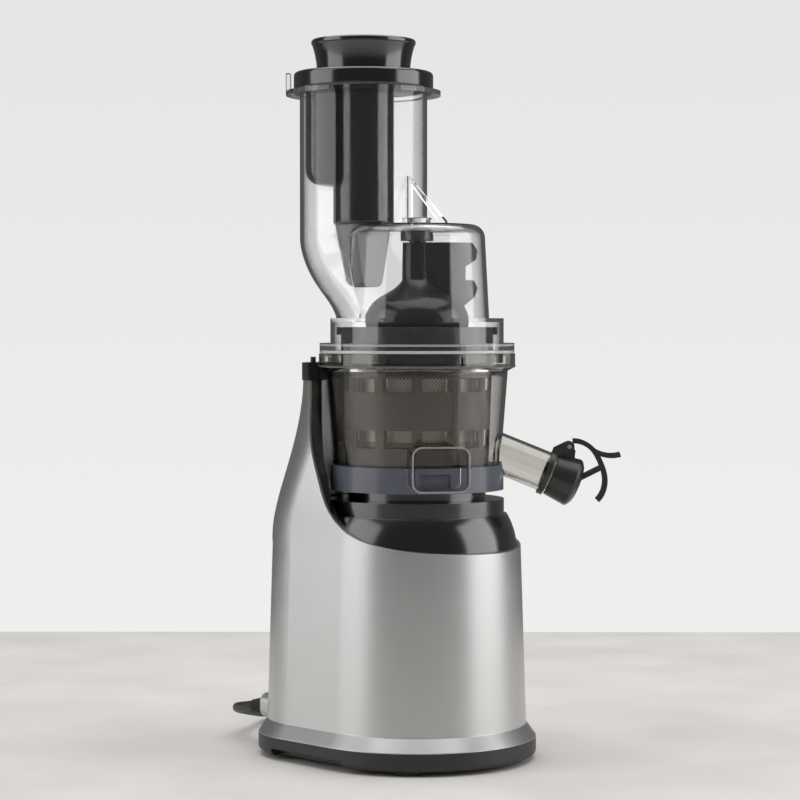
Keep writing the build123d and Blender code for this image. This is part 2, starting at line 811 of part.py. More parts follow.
with BuildPart() as cluster_gear:
    gear(first_gear_teeth, first_module, 270 + 180 / first_gear_teeth, first_gear_bottom,
         first_gear_width, counter_place)
    gear(second_pinion_teeth, second_module, 270, second_pinion_bottom, second_pinion_width,
         counter_place)
    disc(first_gear_bottom, second_pinion_bottom + second_pinion_width, counter_radius + press,
         counter_place, mode=Mode.SUBTRACT)
save("cluster_gear", cluster_gear.part)

with BuildPart() as output_shaft:
    disc(shaft_top + 0.8, hex_bottom, output_radius)
    with BuildSketch(Plane.XY.offset(hex_bottom)):
        RegularPolygon(hex_flats / 2, 6, major_radius=False)
    extrude(amount=hex_top - hex_bottom)
save("output_shaft", output_shaft.part)

with BuildPart() as output_gear:
    gear(second_gear_teeth, second_module, 90 + 180 / second_gear_teeth, second_gear_bottom,
         second_gear_width, bore=output_radius + press)
save("output_gear", output_gear.part)

with BuildPart() as output_bearings:
    for low in (gearbox_split + 1, tower_bearing_top - output_bearing_height):
        disc(low, low + output_bearing_height, output_bearing_radius, bore=output_radius + running)
save("output_bearings", output_bearings.part)

with BuildPart() as output_seal:
    disc(tower_bearing_top, tower_top - slip, output_bearing_radius, bore=output_radius + running)
save("output_seal", output_seal.part)

# ---------------------------------------------------------------- electrics
capacitor_radius = 17.0
capacitor_height = 60.0
capacitor_place = (30.0, 69.0)
board_front = 65.0
board_thickness = 1.6
board_centre = -26.0
board_width = 44.0
board_tall = 54.0

with BuildPart() as run_capacitor:
    disc(base_floor, base_floor + capacitor_height, capacitor_radius, capacitor_place)
    fillet(run_capacitor.edges().group_by(Axis.Z)[-1], 2.0)
    for side in (-5, 5):
        block(base_floor + capacitor_height, base_floor + capacitor_height + 7, 1, 6,
              (capacitor_place[0] + side, capacitor_place[1]))
save("run_capacitor", run_capacitor.part)

with BuildPart() as control_board:
    rear = board_front + board_thickness
    block(base_floor, base_floor + board_tall, board_width, board_thickness,
          (board_centre, board_front + board_thickness / 2))
    block(base_floor + 6, base_floor + 20, 18, 12, (board_centre - 6, rear + 6))
    block(base_floor + 26, base_floor + 42, 14, 10, (board_centre - 10, rear + 5))
    block(base_floor + 28, base_floor + 46, 5, 9, (board_centre + 6, rear + 4.5))
    with Locations(Location((board_centre + 12, rear, base_floor + 14), (-90, 0, 0))):
        Cylinder(5, 11, align=UP)
save("control_board", control_board.part)

switch_rear = switch_seat + bezel_thickness
pivot_y = switch_rear - rocker_pivot_depth - bezel_thickness

with BuildPart() as power_switch:
    with Locations((0, switch_seat - switch_depth / 2, rocker_height)):
        Box(switch_width, switch_depth, switch_tall)
    with Locations((0, switch_seat + bezel_thickness / 2, rocker_height)):
        Box(switch_width + 2 * bezel_margin, bezel_thickness, switch_tall + 2 * bezel_margin)
    with Locations((0, switch_rear - 4, rocker_height)):
        Box(rocker_pocket_width, 8, rocker_pocket_tall, mode=Mode.SUBTRACT)
    with Locations(Location((0, pivot_y, rocker_height), (0, 90, 0))):
        Cylinder(rocker_stub_radius + running, rocker_pocket_width + 4, mode=Mode.SUBTRACT)
save("power_switch", power_switch.part)

with BuildPart() as rocker:
    with BuildSketch(Plane.YZ):
        with BuildLine():
            Polyline((pivot_y + 1, rocker_height - 10.4), (switch_rear + 1.4, rocker_height - 10.2),
                     (switch_rear - 0.4, rocker_height), (switch_rear + 1.4, rocker_height + 10.2),
                     (pivot_y + 1, rocker_height + 10.4), (pivot_y - 1.8, rocker_height), close=True)
        make_face()
    extrude(amount=rocker_width / 2, both=True)
    with Locations(Location((0, pivot_y, rocker_height), (0, 90, 0))):
        Cylinder(rocker_stub_radius, rocker_pocket_width + 3)
save("rocker", rocker.part)

# ---------------------------------------------------------------- lead
gland_depth = 14.5

with BuildPart() as cord_gland:
    upright_slot(gland_face, gland_depth, gland_width, gland_tall, (gland_x, gland_z))
    with Locations(Location((gland_x, gland_face, gland_z), (90, 0, 0))):
        Cylinder(relief_root_radius + running, 2 * gland_depth, mode=Mode.SUBTRACT)
save("cord_gland", cord_gland.part)

relief_start = Vector(gland_x, gland_face, gland_z)
relief_end = Vector(*lead_route[0])
relief_way = (relief_end - relief_start).normalized()

with BuildPart() as strain_relief:
    with Locations(Location((gland_x, gland_face, gland_z), (90, 0, 0))):
        Cylinder(relief_root_radius, gland_depth, align=UP)
        Sphere(relief_root_radius)
    with BuildSketch(Plane(origin=relief_start, z_dir=relief_way)) as thick:
        Circle(relief_root_radius)
    with BuildSketch(Plane(origin=relief_end, z_dir=relief_way)) as thin:
        Circle(relief_tip_radius)
    loft([thick.sketch, thin.sketch])
save("strain_relief", strain_relief.part)

save("cord_lead", tube(lead_route, cord_diameter))

coil_inner = coil_mean - coil_columns * cord_diameter / 2
coil_outer = coil_mean + coil_columns * cord_diameter / 2
coil_height = coil_layers * cord_diameter

with BuildPart() as cord_coil:
    disc(0, coil_height, coil_outer, coil_centre, bore=coil_inner)
    fillet(cord_coil.edges().filter_by(GeomType.CIRCLE), cord_diameter / 3)
save("cord_coil", cord_coil.part)

plug_length = 34.0
plug_width = 35.0
plug_thickness = 13.6
plug_place = (110.0, 104.0)
plug_pin_radius = 2.0
plug_pin_length = 19.0
plug_pin_spacing = 19.0
tail_route = [
    (coil_centre[0] + coil_mean + cord_diameter, coil_centre[1] + 2, coil_height - 3.4),
    (118.8, 147.5, 10.1),
    (115.3, 136.5, 9.2),
    (111.4, 125.7, 7.9),
    (110.4, 114.5, 7.2),
]
save("cord_tail", tube(tail_route, cord_diameter))

with BuildPart() as mains_plug:
    middle = plug_thickness / 2 + 0.1
    front = Plane(origin=(plug_place[0], plug_place[1], middle), x_dir=(1, 0, 0), z_dir=(0, -1, 0))
    with BuildSketch(front) as tail_end:
        RectangleRounded(15, 12, 5)
    with BuildSketch(front.offset(plug_length * 0.5)) as shoulder:
        RectangleRounded(plug_width, plug_thickness, 5)
    with BuildSketch(front.offset(plug_length)) as nose:
        RectangleRounded(plug_width - 2, plug_thickness - 1, 5)
    loft([tail_end.sketch, shoulder.sketch], ruled=True)
    loft([shoulder.sketch, nose.sketch], ruled=True)
    with Locations(front.location):
        with GridLocations(plug_pin_spacing, 1, 2, 1):
            Cylinder(plug_pin_radius, plug_length + plug_pin_length, align=UP)
    tail_way = Vector(*tail_route[-2]) - Vector(*tail_route[-1])
    with BuildSketch(Plane(origin=tail_route[-1], z_dir=tail_way)) as neck_end:
        Circle(cord_diameter / 2 + 0.6)
    with BuildSketch(front.offset(2)) as neck_root:
        Circle(5.6)
    loft([neck_end.sketch, neck_root.sketch])
save("mains_plug", mains_plug.part)

# ---------------------------------------------------------------- bowl base
spout_way = Vector(
    cos(radians(spout_angle)) * cos(radians(spout_slope)),
    sin(radians(spout_angle)) * cos(radians(spout_slope)),
    -sin(radians(spout_slope)),
)
spout_root = Vector(*polar(spout_root_radius, spout_angle), spout_root_height)
spout_across = Vector(-sin(radians(spout_angle)), cos(radians(spout_angle)), 0)
spout_plane = Plane(origin=spout_root, x_dir=spout_across, z_dir=spout_way)
spout_side = Plane(origin=spout_root, x_dir=spout_way, z_dir=-spout_across)
upright_side = Plane(origin=(0, 0, 0), x_dir=Vector(*polar(1, spout_angle), 0),
                     z_dir=-spout_across)
outlet_way = Vector(*polar(1, outlet_angle), 0)
outlet_plane = Plane(origin=(0, 0, outlet_centre_height),
                     x_dir=Vector(-outlet_way.Y, outlet_way.X, 0), z_dir=outlet_way)
pulp_place = polar(auger_teeth * brush_module / 2 + idler_teeth * brush_module / 2, outlet_angle)
idler_radius = (auger_teeth + idler_teeth) * brush_module / 2
duct_turn = outlet_angle + 90


def along_spout(start, end, radius, mode=Mode.ADD):
    """A cylinder on the spout's axis between two distances from its root."""
    with Locations(spout_plane.offset(start).location):
        Cylinder(radius, end - start, align=UP, mode=mode)


with BuildPart() as bowl_base:
    disc(bowl_bottom, bowl_base_top, bowl_base_radius)
    disc(bowl_bottom, bowl_base_top - bowl_base_plate, bowl_base_radius - bowl_skirt,
         mode=Mode.SUBTRACT)
    disc(bowl_bottom, bowl_base_top - bowl_base_plate, boss_radius)
    disc(bowl_bottom, bowl_base_top - bowl_base_plate, boss_radius - 4, mode=Mode.SUBTRACT)
    disc(bowl_bottom, brush_gear_bottom - slip, hub_radius)
    duct_low = duct_bottom - duct_wall
    block(duct_low, bowl_base_top, duct_width + 2 * duct_wall, 48,
          polar(8 + 24, outlet_angle), duct_turn)
    for place in peg_places:
        disc(boss_top - 3.5, bowl_base_top, peg_radius, place)
    disc(bowl_base_top, strainer_bottom - slip - 0.2, pulp_hole_radius + pulp_tube_wall, pulp_place)
    for side in (-idler_radius, idler_radius):
        disc(bowl_base_top, brush_gear_bottom - slip, idler_pin_radius + 2, (side, 0))
        disc(bowl_base_top, brush_gear_bottom + brush_gear_width, idler_pin_radius, (side, 0))
    block(duct_bottom, duct_bottom + duct_height, duct_width, 60, polar(17 + 30, outlet_angle),
          duct_turn, mode=Mode.SUBTRACT)
    disc(duct_bottom + 1, strainer_bottom, pulp_hole_radius, pulp_place, mode=Mode.SUBTRACT)
    disc(bowl_bottom, brush_gear_bottom, hub_bore, mode=Mode.SUBTRACT)
    along_spout(-spout_inside, spout_length, spout_outer + press, mode=Mode.SUBTRACT)
save("bowl_base", bowl_base.part)

with BuildPart() as bowl_shaft_seal:
    disc(bowl_bottom + 6, bowl_bottom + 12, hub_bore, bore=output_radius + running)
save("bowl_shaft_seal", bowl_shaft_seal.part)

# ---------------------------------------------------------------- bowl
inner_foot = bowl_foot_radius - bowl_wall
inner_neck = bowl_neck_radius - bowl_wall - 0.3
shelf = strainer_flange - slip
pocket_radius = collar_radius - collar_wall
window_angles = [window_angle + 360 * lock / lock_count for lock in range(lock_count)]

with BuildPart() as outlet_hollow:
    with BuildSketch(outlet_plane.offset(50)):
        RectangleRounded(outlet_width - 2 * outlet_wall, outlet_height - 2 * outlet_wall,
                         outlet_corner - outlet_wall)
    extrude(amount=outlet_face - 49)
    disc(bowl_base_top, bowl_neck, bowl_base_radius + slip, mode=Mode.SUBTRACT)

with BuildPart() as bowl:
    with BuildSketch(outlet_plane.offset(50)):
        RectangleRounded(outlet_width, outlet_height, outlet_corner)
    extrude(amount=outlet_face - 50)
    along_spout(-spout_inside, spout_length, spout_outer)
    disc(0, bowl_base_top, bowl_base_radius + slip, mode=Mode.SUBTRACT)
    along_spout(-spout_inside, spout_length, spout_outer)
    turned([(0, bowl_base_top), (bowl_foot_radius, bowl_base_top), (bowl_neck_radius, bowl_neck),
            (collar_radius, collar_bottom), (collar_radius, collar_top), (0, collar_top)])
    turned([(0, 150), (inner_foot, 150), (inner_foot, bowl_base_top), (inner_neck, shelf - 2.4),
            (rest_ledge_radius, shelf - 2.4), (rest_ledge_radius, shelf), (ledge_radius, shelf),
            (ledge_radius, window_bottom - 0.6), (pocket_radius, window_bottom - 0.6),
            (pocket_radius, collar_top), (0, collar_top)], mode=Mode.SUBTRACT)
    along_spout(-spout_inside - 8, spout_length, spout_bore, mode=Mode.SUBTRACT)
    add(outlet_hollow.part, mode=Mode.SUBTRACT)
    for angle in window_angles:
        sector(window_bottom, window_top, pocket_radius - 0.5, collar_radius + 1, angle,
               window_half_angle, mode=Mode.SUBTRACT)
        sector(collar_top - ledge_thickness, collar_top, ledge_radius, pocket_radius + 0.5, angle,
               ledge_half_angle)
save("bowl", bowl.part)

with BuildPart() as pulp_packing:
    with BuildSketch(Plane(origin=(0, 0, duct_bottom + duct_height / 2),
                           x_dir=Vector(-outlet_way.Y, outlet_way.X, 0),
                           z_dir=outlet_way).offset(bowl_base_radius - 4)):
        Rectangle(duct_width - 2 * press, duct_height - 2 * press)
    extrude(amount=2)
save("pulp_packing", pulp_packing.part)

with BuildPart() as spout_ring:
    ring_end = spout_ring_start + spout_ring_width
    along_spout(spout_ring_start, ring_end, spout_outer + spout_ring_wall)
    inner_ear = knuckle_width / 2 + slip
    for side in (-1, 1):
        with BuildSketch(spout_side.offset(side * (inner_ear + ear_plate / 2))) as ear:
            with BuildLine():
                Polyline((spout_ring_start, spout_outer - 0.3), (ring_end, spout_outer - 0.3),
                         (pin_along + 3, pin_above - 2.5), (pin_along + 3, pin_above + 2),
                         (pin_along, pin_above + 3.4), (pin_along - 3, pin_above + 2),
                         (spout_ring_start, spout_outer + 3.5), close=True)
            make_face()
        extrude(ear.sketch, amount=ear_plate / 2, both=True)
    along_spout(spout_ring_start - 1, ring_end + 1, spout_outer + press, mode=Mode.SUBTRACT)
    with Locations(spout_side.location * Location((pin_along, pin_above, 0))):
        Cylinder(hinge_pin_radius + press, 30, mode=Mode.SUBTRACT)
save("spout_ring", spout_ring.part)

with BuildPart() as cap_hinge_pin:
    with Locations(spout_side.location * Location((pin_along, pin_above, 0))):
        Cylinder(hinge_pin_radius, knuckle_width + 2 * slip + 2 * ear_plate + 0.8)
save("cap_hinge_pin", cap_hinge_pin.part)

# ---------------------------------------------------------------- juice cap
cap_start = spout_length + juice_cap_gap
cap_end = cap_start + juice_cap_depth
cap_top = cap_end + juice_cap_dome
spout_axis = Axis(spout_root, spout_way)

with BuildPart() as juice_cap:
    with BuildSketch(spout_side):
        with BuildLine():
            Polyline((cap_start, juice_cap_rim - 2), (cap_start, juice_cap_rim),
                     (cap_end - 1, juice_cap_end), (cap_end + 0.5, juice_cap_end - 0.8),
                     (cap_end + 2.6, juice_cap_end - 4), (cap_top - 0.4, juice_cap_end / 2),
                     (cap_top, 4), (cap_top, 0), (cap_top - 2.2, 0), (cap_top - 2.2, 6),
                     (cap_end - 1, juice_cap_end - 3), close=True)
        make_face()
    revolve(axis=spout_axis)
    along_spout(cap_start + 3, cap_top - 1, 3.5)
    with BuildSketch(spout_side):
        with BuildLine():
            Polyline((cap_start + 0.8, juice_cap_rim - 1.4), (pin_along + 7, juice_cap_rim - 1.0),
                     (pin_along + 5, pin_above - 1), (pin_along, pin_above + knuckle_radius),
                     (pin_along - 3, pin_above + 1.5), (pin_along - 3.2, pin_above - 2), close=True)
        make_face()
    extrude(amount=knuckle_width / 2, both=True)
    with Locations(spout_side.location * Location((pin_along, pin_above, 0))):
        Cylinder(knuckle_radius, knuckle_width)
        Cylinder(hinge_pin_radius + running, knuckle_width + 1, mode=Mode.SUBTRACT)
save("juice_cap", juice_cap.part)

with BuildPart() as cap_seal:
    along_spout(cap_start - juice_cap_gap + 0.2, cap_start + 3, juice_cap_rim - 2.1)
save("cap_seal", cap_seal.part)

with BuildPart() as cap_lever:
    with BuildSketch(upright_side):
        with BuildLine() as blade:
            Spline((104.5, 212.4), (111.2, 211.2), (117.7, 206.7), (122.6, 198.7), (125.9, 186.5),
                   (124.6, 178.6), (120.6, 172.6))
        trace(line_width=lever_thickness)
        with BuildLine() as tab:
            Spline((118.5, 206.0), (123.0, 203.8), (129.5, 202.6), (136.0, 203.4))
        trace(line_width=lever_thickness)
        with BuildLine() as strut:
            Line((108.0, 187.0), (122.8, 194.4))
        trace(line_width=lever_thickness)
    extrude(amount=lever_width / 2, both=True)
    add(juice_cap.part, mode=Mode.SUBTRACT)
    cut_piece = cap_lever.part.solids().sort_by(SortBy.VOLUME)[-1]
save("cap_lever", Part(cut_piece.wrapped))

# ---------------------------------------------------------------- brush and strainer
with BuildPart() as idler_right:
    gear(idler_teeth, brush_module, 180 + 180 / idler_teeth, brush_gear_bottom, brush_gear_width,
         (idler_radius, 0), idler_pin_radius + running)
save("idler_right", idler_right.part)

with BuildPart() as idler_left:
    gear(idler_teeth, brush_module, 180 / idler_teeth, brush_gear_bottom, brush_gear_width,
         (-idler_radius, 0), idler_pin_radius + running)
save("idler_left", idler_left.part)

ring_pitch = ring_teeth * brush_module / 2
rim_top = brush_gear_bottom + brush_gear_width + 1
window_half = 180 / cage_ribs - degrees(rib_width / 2 / cage_radius_top)
wiper_thickness = 1.8
wiper_count = 3
wiper_hold = 4.0
wiper_gap = 0.5
wiper_low = strainer_bottom + 5.0
wiper_high = cage_top - 3.5
wiper_angles = [180 / cage_ribs + 360 * count / wiper_count for count in range(wiper_count)]

with BuildPart() as brush_cage:
    turned([(0, cage_bottom), (cage_radius_bottom, cage_bottom), (cage_radius_top, cage_top),
            (0, cage_top)])
    turned([(0, rim_top), (cage_radius_bottom - cage_thickness, rim_top),
            (cage_radius_top - cage_thickness, cage_top), (0, cage_top)], mode=Mode.SUBTRACT)
    cutter = toothed_disc(ring_teeth, brush_module, 180 / ring_teeth,
                          ring_pitch - addendum * brush_module,
                          ring_pitch + dedendum * brush_module, -backlash)
    with BuildSketch(Plane.XY.offset(cage_bottom)) as space:
        add(cutter)
    extrude(space.sketch, amount=rim_top - cage_bottom, mode=Mode.SUBTRACT)
    for low, high in window_rows:
        for rib in range(cage_ribs):
            sector(low, high, cage_radius_bottom - 6, cage_radius_top + 4, 360 * rib / cage_ribs,
                   window_half, mode=Mode.SUBTRACT)
    for angle in wiper_angles:
        block(wiper_low + wiper_hold, wiper_high - wiper_hold, wiper_thickness + 2 * press,
              2 * (cage_radius_top - cage_radius_bottom + cage_thickness) + 4,
              polar((cage_radius_bottom + cage_radius_top) / 2, angle), angle - 90,
              mode=Mode.SUBTRACT)
save("brush_cage", brush_cage.part)

strainer_slope = (strainer_radius_top - strainer_radius_bottom) / (strainer_flange - strainer_bottom)

with BuildPart() as brush_wipers:
    for angle in wiper_angles:
        way = polar(1, angle)
        radial = Plane(origin=(0, 0, 0), x_dir=(*way, 0), z_dir=(way[1], -way[0], 0))
        with BuildSketch(radial) as blade:
            with BuildLine():
                Polyline((strainer_radius_bottom + 5 * strainer_slope + wiper_gap, wiper_low),
                         (inner_foot - wiper_gap, wiper_low), (rest_ledge_radius - 1, wiper_high),
                         (strainer_radius_top + wiper_gap, wiper_high), close=True)
            make_face()
        extrude(blade.sketch, amount=wiper_thickness / 2, both=True)
    add(brush_cage.part, mode=Mode.SUBTRACT)
save("brush_wipers", brush_wipers.part)

flange_top = strainer_flange + strainer_flange_thickness
strainer_rows = ((213.0, 226.0), (229.0, 241.0), (244.0, 256.0))
strainer_posts = 12
strainer_half = 180 / strainer_posts - 3.5

with BuildPart() as strainer_frame:
    turned([(0, strainer_bottom), (strainer_radius_bottom, strainer_bottom),
            (strainer_radius_top, strainer_flange), (ledge_radius - slip, strainer_flange),
            (ledge_radius - slip, flange_top), (0, flange_top)])
    turned([(0, strainer_bottom + strainer_floor),
            (strainer_radius_bottom - strainer_thickness, strainer_bottom + strainer_floor),
            (strainer_radius_top - strainer_thickness, flange_top), (0, flange_top)],
           mode=Mode.SUBTRACT)
    disc(strainer_bottom, strainer_bottom + strainer_floor, 16.0, mode=Mode.SUBTRACT)
    disc(strainer_bottom, strainer_bottom + strainer_floor, pulp_hole_radius, pulp_place,
         mode=Mode.SUBTRACT)
    for low, high in strainer_rows:
        for post in range(strainer_posts):
            sector(low, high, strainer_radius_bottom - 6, strainer_radius_top + 4,
                   360 * post / strainer_posts, strainer_half, mode=Mode.SUBTRACT)
save("strainer_frame", strainer_frame.part)

with BuildPart() as strainer_mesh:
    mesh_low = strainer_bottom + strainer_floor + 0.5
    mesh_high = strainer_flange
    low_radius = strainer_radius_bottom - strainer_thickness - press
    inside_slope = (strainer_radius_top - strainer_radius_bottom) / (
        flange_top - strainer_bottom - strainer_floor)
    high_radius = low_radius + inside_slope * (mesh_high - mesh_low)
    turned([(low_radius, mesh_low), (high_radius, mesh_high), (high_radius - mesh_thickness, mesh_high),
            (low_radius - mesh_thickness, mesh_low)])
save("strainer_mesh", strainer_mesh.part)

with BuildPart() as strainer_ring:
    disc(flange_top, flange_top + top_ring_height, top_ring_radius,
         bore=top_ring_radius - top_ring_thickness)
    for lug in range(4):
        sector(flange_top + top_ring_height - 5, flange_top + top_ring_height,
               top_ring_radius - 0.5, top_ring_radius + 3, 45 + 90 * lug, 4)
save("strainer_ring", strainer_ring.part)

# ---------------------------------------------------------------- auger
drive_top = brush_gear_bottom + socket_depth
auger_neck_bottom = brush_gear_bottom + brush_gear_width + slip

with BuildPart() as auger_drive:
    gear(auger_teeth, brush_module, 0, brush_gear_bottom, brush_gear_width)
    disc(brush_gear_bottom, drive_top, socket_radius)
    with BuildSketch(Plane.XY.offset(brush_gear_bottom)):
        RegularPolygon(hex_flats / 2 + 0.15, 6, major_radius=False)
    extrude(amount=socket_depth - 2, mode=Mode.SUBTRACT)
    disc(brush_gear_bottom, brush_gear_bottom + 0.6, hex_flats / 2 + 1, mode=Mode.SUBTRACT)
save("auger_drive", auger_drive.part)

screw_pitch = 44.0
screw_thickness = 4.0
screw_starts = 2
screw_low = auger_foot + 3.0
screw_high = 254.0
fin_bottom = auger_top - 48.0
fin_front = 1.5 - auger_column_radius
fin_plane = Plane(origin=(0, 0, fin_bottom), x_dir=Vector(*polar(1, spout_angle), 0), z_dir=(0, 0, 1))

with BuildPart() as auger_fin:
    with BuildSketch(fin_plane) as fin_plan:
        with BuildLine():
            Polyline((0, fin_front), (fin_root, fin_front),
                     (auger_blade_radius, 2.5), (auger_blade_radius, 2.5 + fin_thickness),
                     (fin_root, fin_front + 1.3 * fin_thickness), (0, 0), close=True)
        make_face()
    extrude(fin_plan.sketch, amount=auger_top - fin_bottom)
    with BuildSketch(Plane.XZ) as fin_edge:
        with BuildLine():
            Polyline((0, auger_top), (auger_blade_radius - 4, auger_top),
                     (auger_blade_radius, auger_top - 5), (auger_blade_radius - 1, auger_top - 11),
                     (auger_blade_radius - 8.5, auger_top - 16), (auger_blade_radius - 8.5, auger_top - 25),
                     (auger_blade_radius - 3, auger_top - 25), (auger_blade_radius, auger_top - 30),
                     (auger_blade_radius - 2, auger_top - 36), (auger_blade_radius - 9.2, auger_top - 42),
                     (auger_blade_radius - 9.2, fin_bottom), (0, fin_bottom), close=True)
        make_face()
    revolve(fin_edge.sketch, axis=Axis.Z, mode=Mode.INTERSECT)

with BuildPart() as auger:
    with BuildSketch(Plane.XZ):
        with BuildLine():
            Polyline((0, auger_neck_bottom), (auger_neck_radius, auger_neck_bottom),
                     (auger_neck_radius, auger_foot), (auger_body_radius, auger_foot),
                     (auger_body_radius - 2, 262), (auger_body_radius + 2, auger_top - 61))
            shoulder = Spline((auger_body_radius + 2, auger_top - 61),
                              (auger_body_radius + 3.4, auger_top - 46),
                              (auger_body_radius - 0.8, auger_top - 39.7),
                              (auger_column_radius + 9.4, auger_top - 33),
                              (auger_column_radius + 0.4, auger_top - 25))
            Polyline(shoulder @ 1, (auger_column_radius, auger_top), (auger_pivot_radius, auger_top),
                     (auger_pivot_radius, auger_pivot_top), (0, auger_pivot_top),
                     (0, auger_neck_bottom))
        make_face()
    revolve(axis=Axis.Z)
    screw_middle = (auger_body_radius - 4 + auger_screw_radius) / 2
    screw_depth = auger_screw_radius - auger_body_radius + 4
    for start in range(screw_starts):
        with BuildLine(Plane.XY.rotated((0, 0, 360 * start / screw_starts))) as thread:
            Helix(screw_pitch, screw_high - screw_low, screw_middle, center=(0, 0, screw_low))
        wire = thread.wire()
        out = Vector((wire @ 0).X, (wire @ 0).Y, 0)
        with BuildSketch(Plane(origin=wire @ 0, x_dir=out, z_dir=wire % 0)) as section:
            Rectangle(screw_depth, screw_thickness)
        sweep(section.sketch, path=wire, is_frenet=True)
    add(auger_fin.part)
    disc(auger_neck_bottom, drive_top + slip, socket_radius + press, mode=Mode.SUBTRACT)
save("auger", auger.part)

# ---------------------------------------------------------------- lid
duct_line = [
    (290.0, 8.0, 47.8),
    (300.0, 11.6, 48.0),
    (314.0, 26.6, 47.0),
    (327.7, 41.0, 45.2),
    (340.0, 49.4, 43.8),
    (chute_straight, chute_centre, chute_outer),
]


def lid_mass(inset):
    """The dome, its shoulder, the curved duct and the feed chute, shrunk by an inset."""
    with BuildPart() as mass:
        disc(lid_skirt_bottom - inset, lid_skirt_top - inset, lid_skirt_radius - inset)
        with BuildSketch(Plane.XZ) as dome:
            with BuildLine():
                Polyline((0, lid_skirt_bottom), (lid_dome_foot - inset, lid_skirt_bottom),
                         (lid_dome_foot - inset, lid_skirt_top), (lid_dome_radius - inset, lid_top - inset),
                         (0, lid_top - inset), close=True)
            make_face()
            fillet(dome.vertices().group_by(Axis.Y)[-1].sort_by(Axis.X)[-1], lid_dome_corner - inset)
        revolve(dome.sketch, axis=Axis.Z)
        rings = []
        for height, centre, radius in duct_line:
            with BuildSketch(Plane.XY.offset(height)) as ring:
                with Locations((0, centre)):
                    Circle(radius - inset)
            rings.append(ring.sketch)
        loft(rings)
        disc(chute_straight, chute_top + inset, chute_outer - inset, (0, chute_centre))
    return mass.part


with BuildPart() as lid:
    add(lid_mass(0.0))
    disc(chute_top - rim_thickness, chute_top, rim_radius, (0, chute_centre))
    tab_reach = polar(rim_radius - rim_thickness / 2, rim_tab_angle)
    block(chute_top - rim_thickness, chute_top + rim_tab_rise, rim_thickness, rim_tab_width,
          (tab_reach[0], chute_centre + tab_reach[1]), rim_tab_angle)
    disc(lid_top - lid_dome_corner, lid_top + lid_boss_height, lid_boss_radius)
    with BuildSketch(Plane.YZ) as gusset:
        wall_y = chute_centre - chute_outer
        with BuildLine():
            Polyline((wall_y + 1, lid_top - 1), (wall_y - gusset_length, lid_top - 1),
                     (wall_y - gusset_length, lid_top + 1.5), (wall_y, lid_top + gusset_height),
                     (wall_y + 1, lid_top + gusset_height), close=True)
        make_face()
        with BuildLine():
            Polyline((wall_y - gusset_edge, lid_top + gusset_edge),
                     (wall_y - gusset_length + 2.6 * gusset_edge, lid_top + gusset_edge),
                     (wall_y - gusset_edge, lid_top + gusset_height - 1.8 * gusset_edge), close=True)
        make_face(mode=Mode.SUBTRACT)
    extrude(gusset.sketch, amount=gusset_thickness / 2, both=True)
    disc(lid_flange_bottom, lid_skirt_bottom, lid_flange_radius)
    disc(lid_spigot_bottom, lid_flange_bottom, lid_spigot_radius)
    add(lid_mass(lid_wall), mode=Mode.SUBTRACT)
    disc(lid_spigot_bottom, lid_skirt_bottom, lid_spigot_radius - lid_wall, mode=Mode.SUBTRACT)
    for angle in window_angles:
        sector(lid_spigot_bottom, lid_spigot_bottom + tab_height, lid_spigot_radius - 0.6,
               tab_radius, angle, tab_half_angle)
    disc(auger_top + 1.2, lid_top - lid_wall + 0.5, 11.0)
    disc(auger_top + 1.2, lid_top - 3.5, 8.0, mode=Mode.SUBTRACT)
    disc(lid_flange_bottom, lid_flange_bottom + 1.5, collar_radius - 0.9, mode=Mode.SUBTRACT)
    disc(lid_flange_bottom, lid_flange_bottom + 1.5, pocket_radius,
         bore=lid_spigot_radius - lid_wall)
save("lid", lid.part)

with BuildPart() as lid_gasket:
    disc(collar_top + slip, lid_flange_bottom + 1.5, collar_radius - 0.9, bore=pocket_radius)
save("lid_gasket", lid_gasket.part)

with BuildPart() as lid_bush:
    disc(auger_top + 1.2, lid_top - 3.5, 8.0, bore=auger_pivot_radius + running)
save("lid_bush", lid_bush.part)

# ---------------------------------------------------------------- pusher
flange_level = pusher_rest + pusher_flange
chute_axis = Axis((0, chute_centre, 0), (0, 0, 1))


def rear_body(inset, top):
    """The pusher's rear body, a round-bottomed drum cut off in front, shrunk by an inset."""
    front = chute_centre + pusher_rear_start + inset
    with BuildPart() as body:
        disc(pusher_rear_bottom + inset, top, pusher_rear_radius - inset, (0, chute_centre))
        fillet(body.edges().group_by(Axis.Z)[0], pusher_rear_corner - inset)
        block(pusher_rear_bottom, top, 200, 100, (0, front - 50), mode=Mode.SUBTRACT)
    return body.part


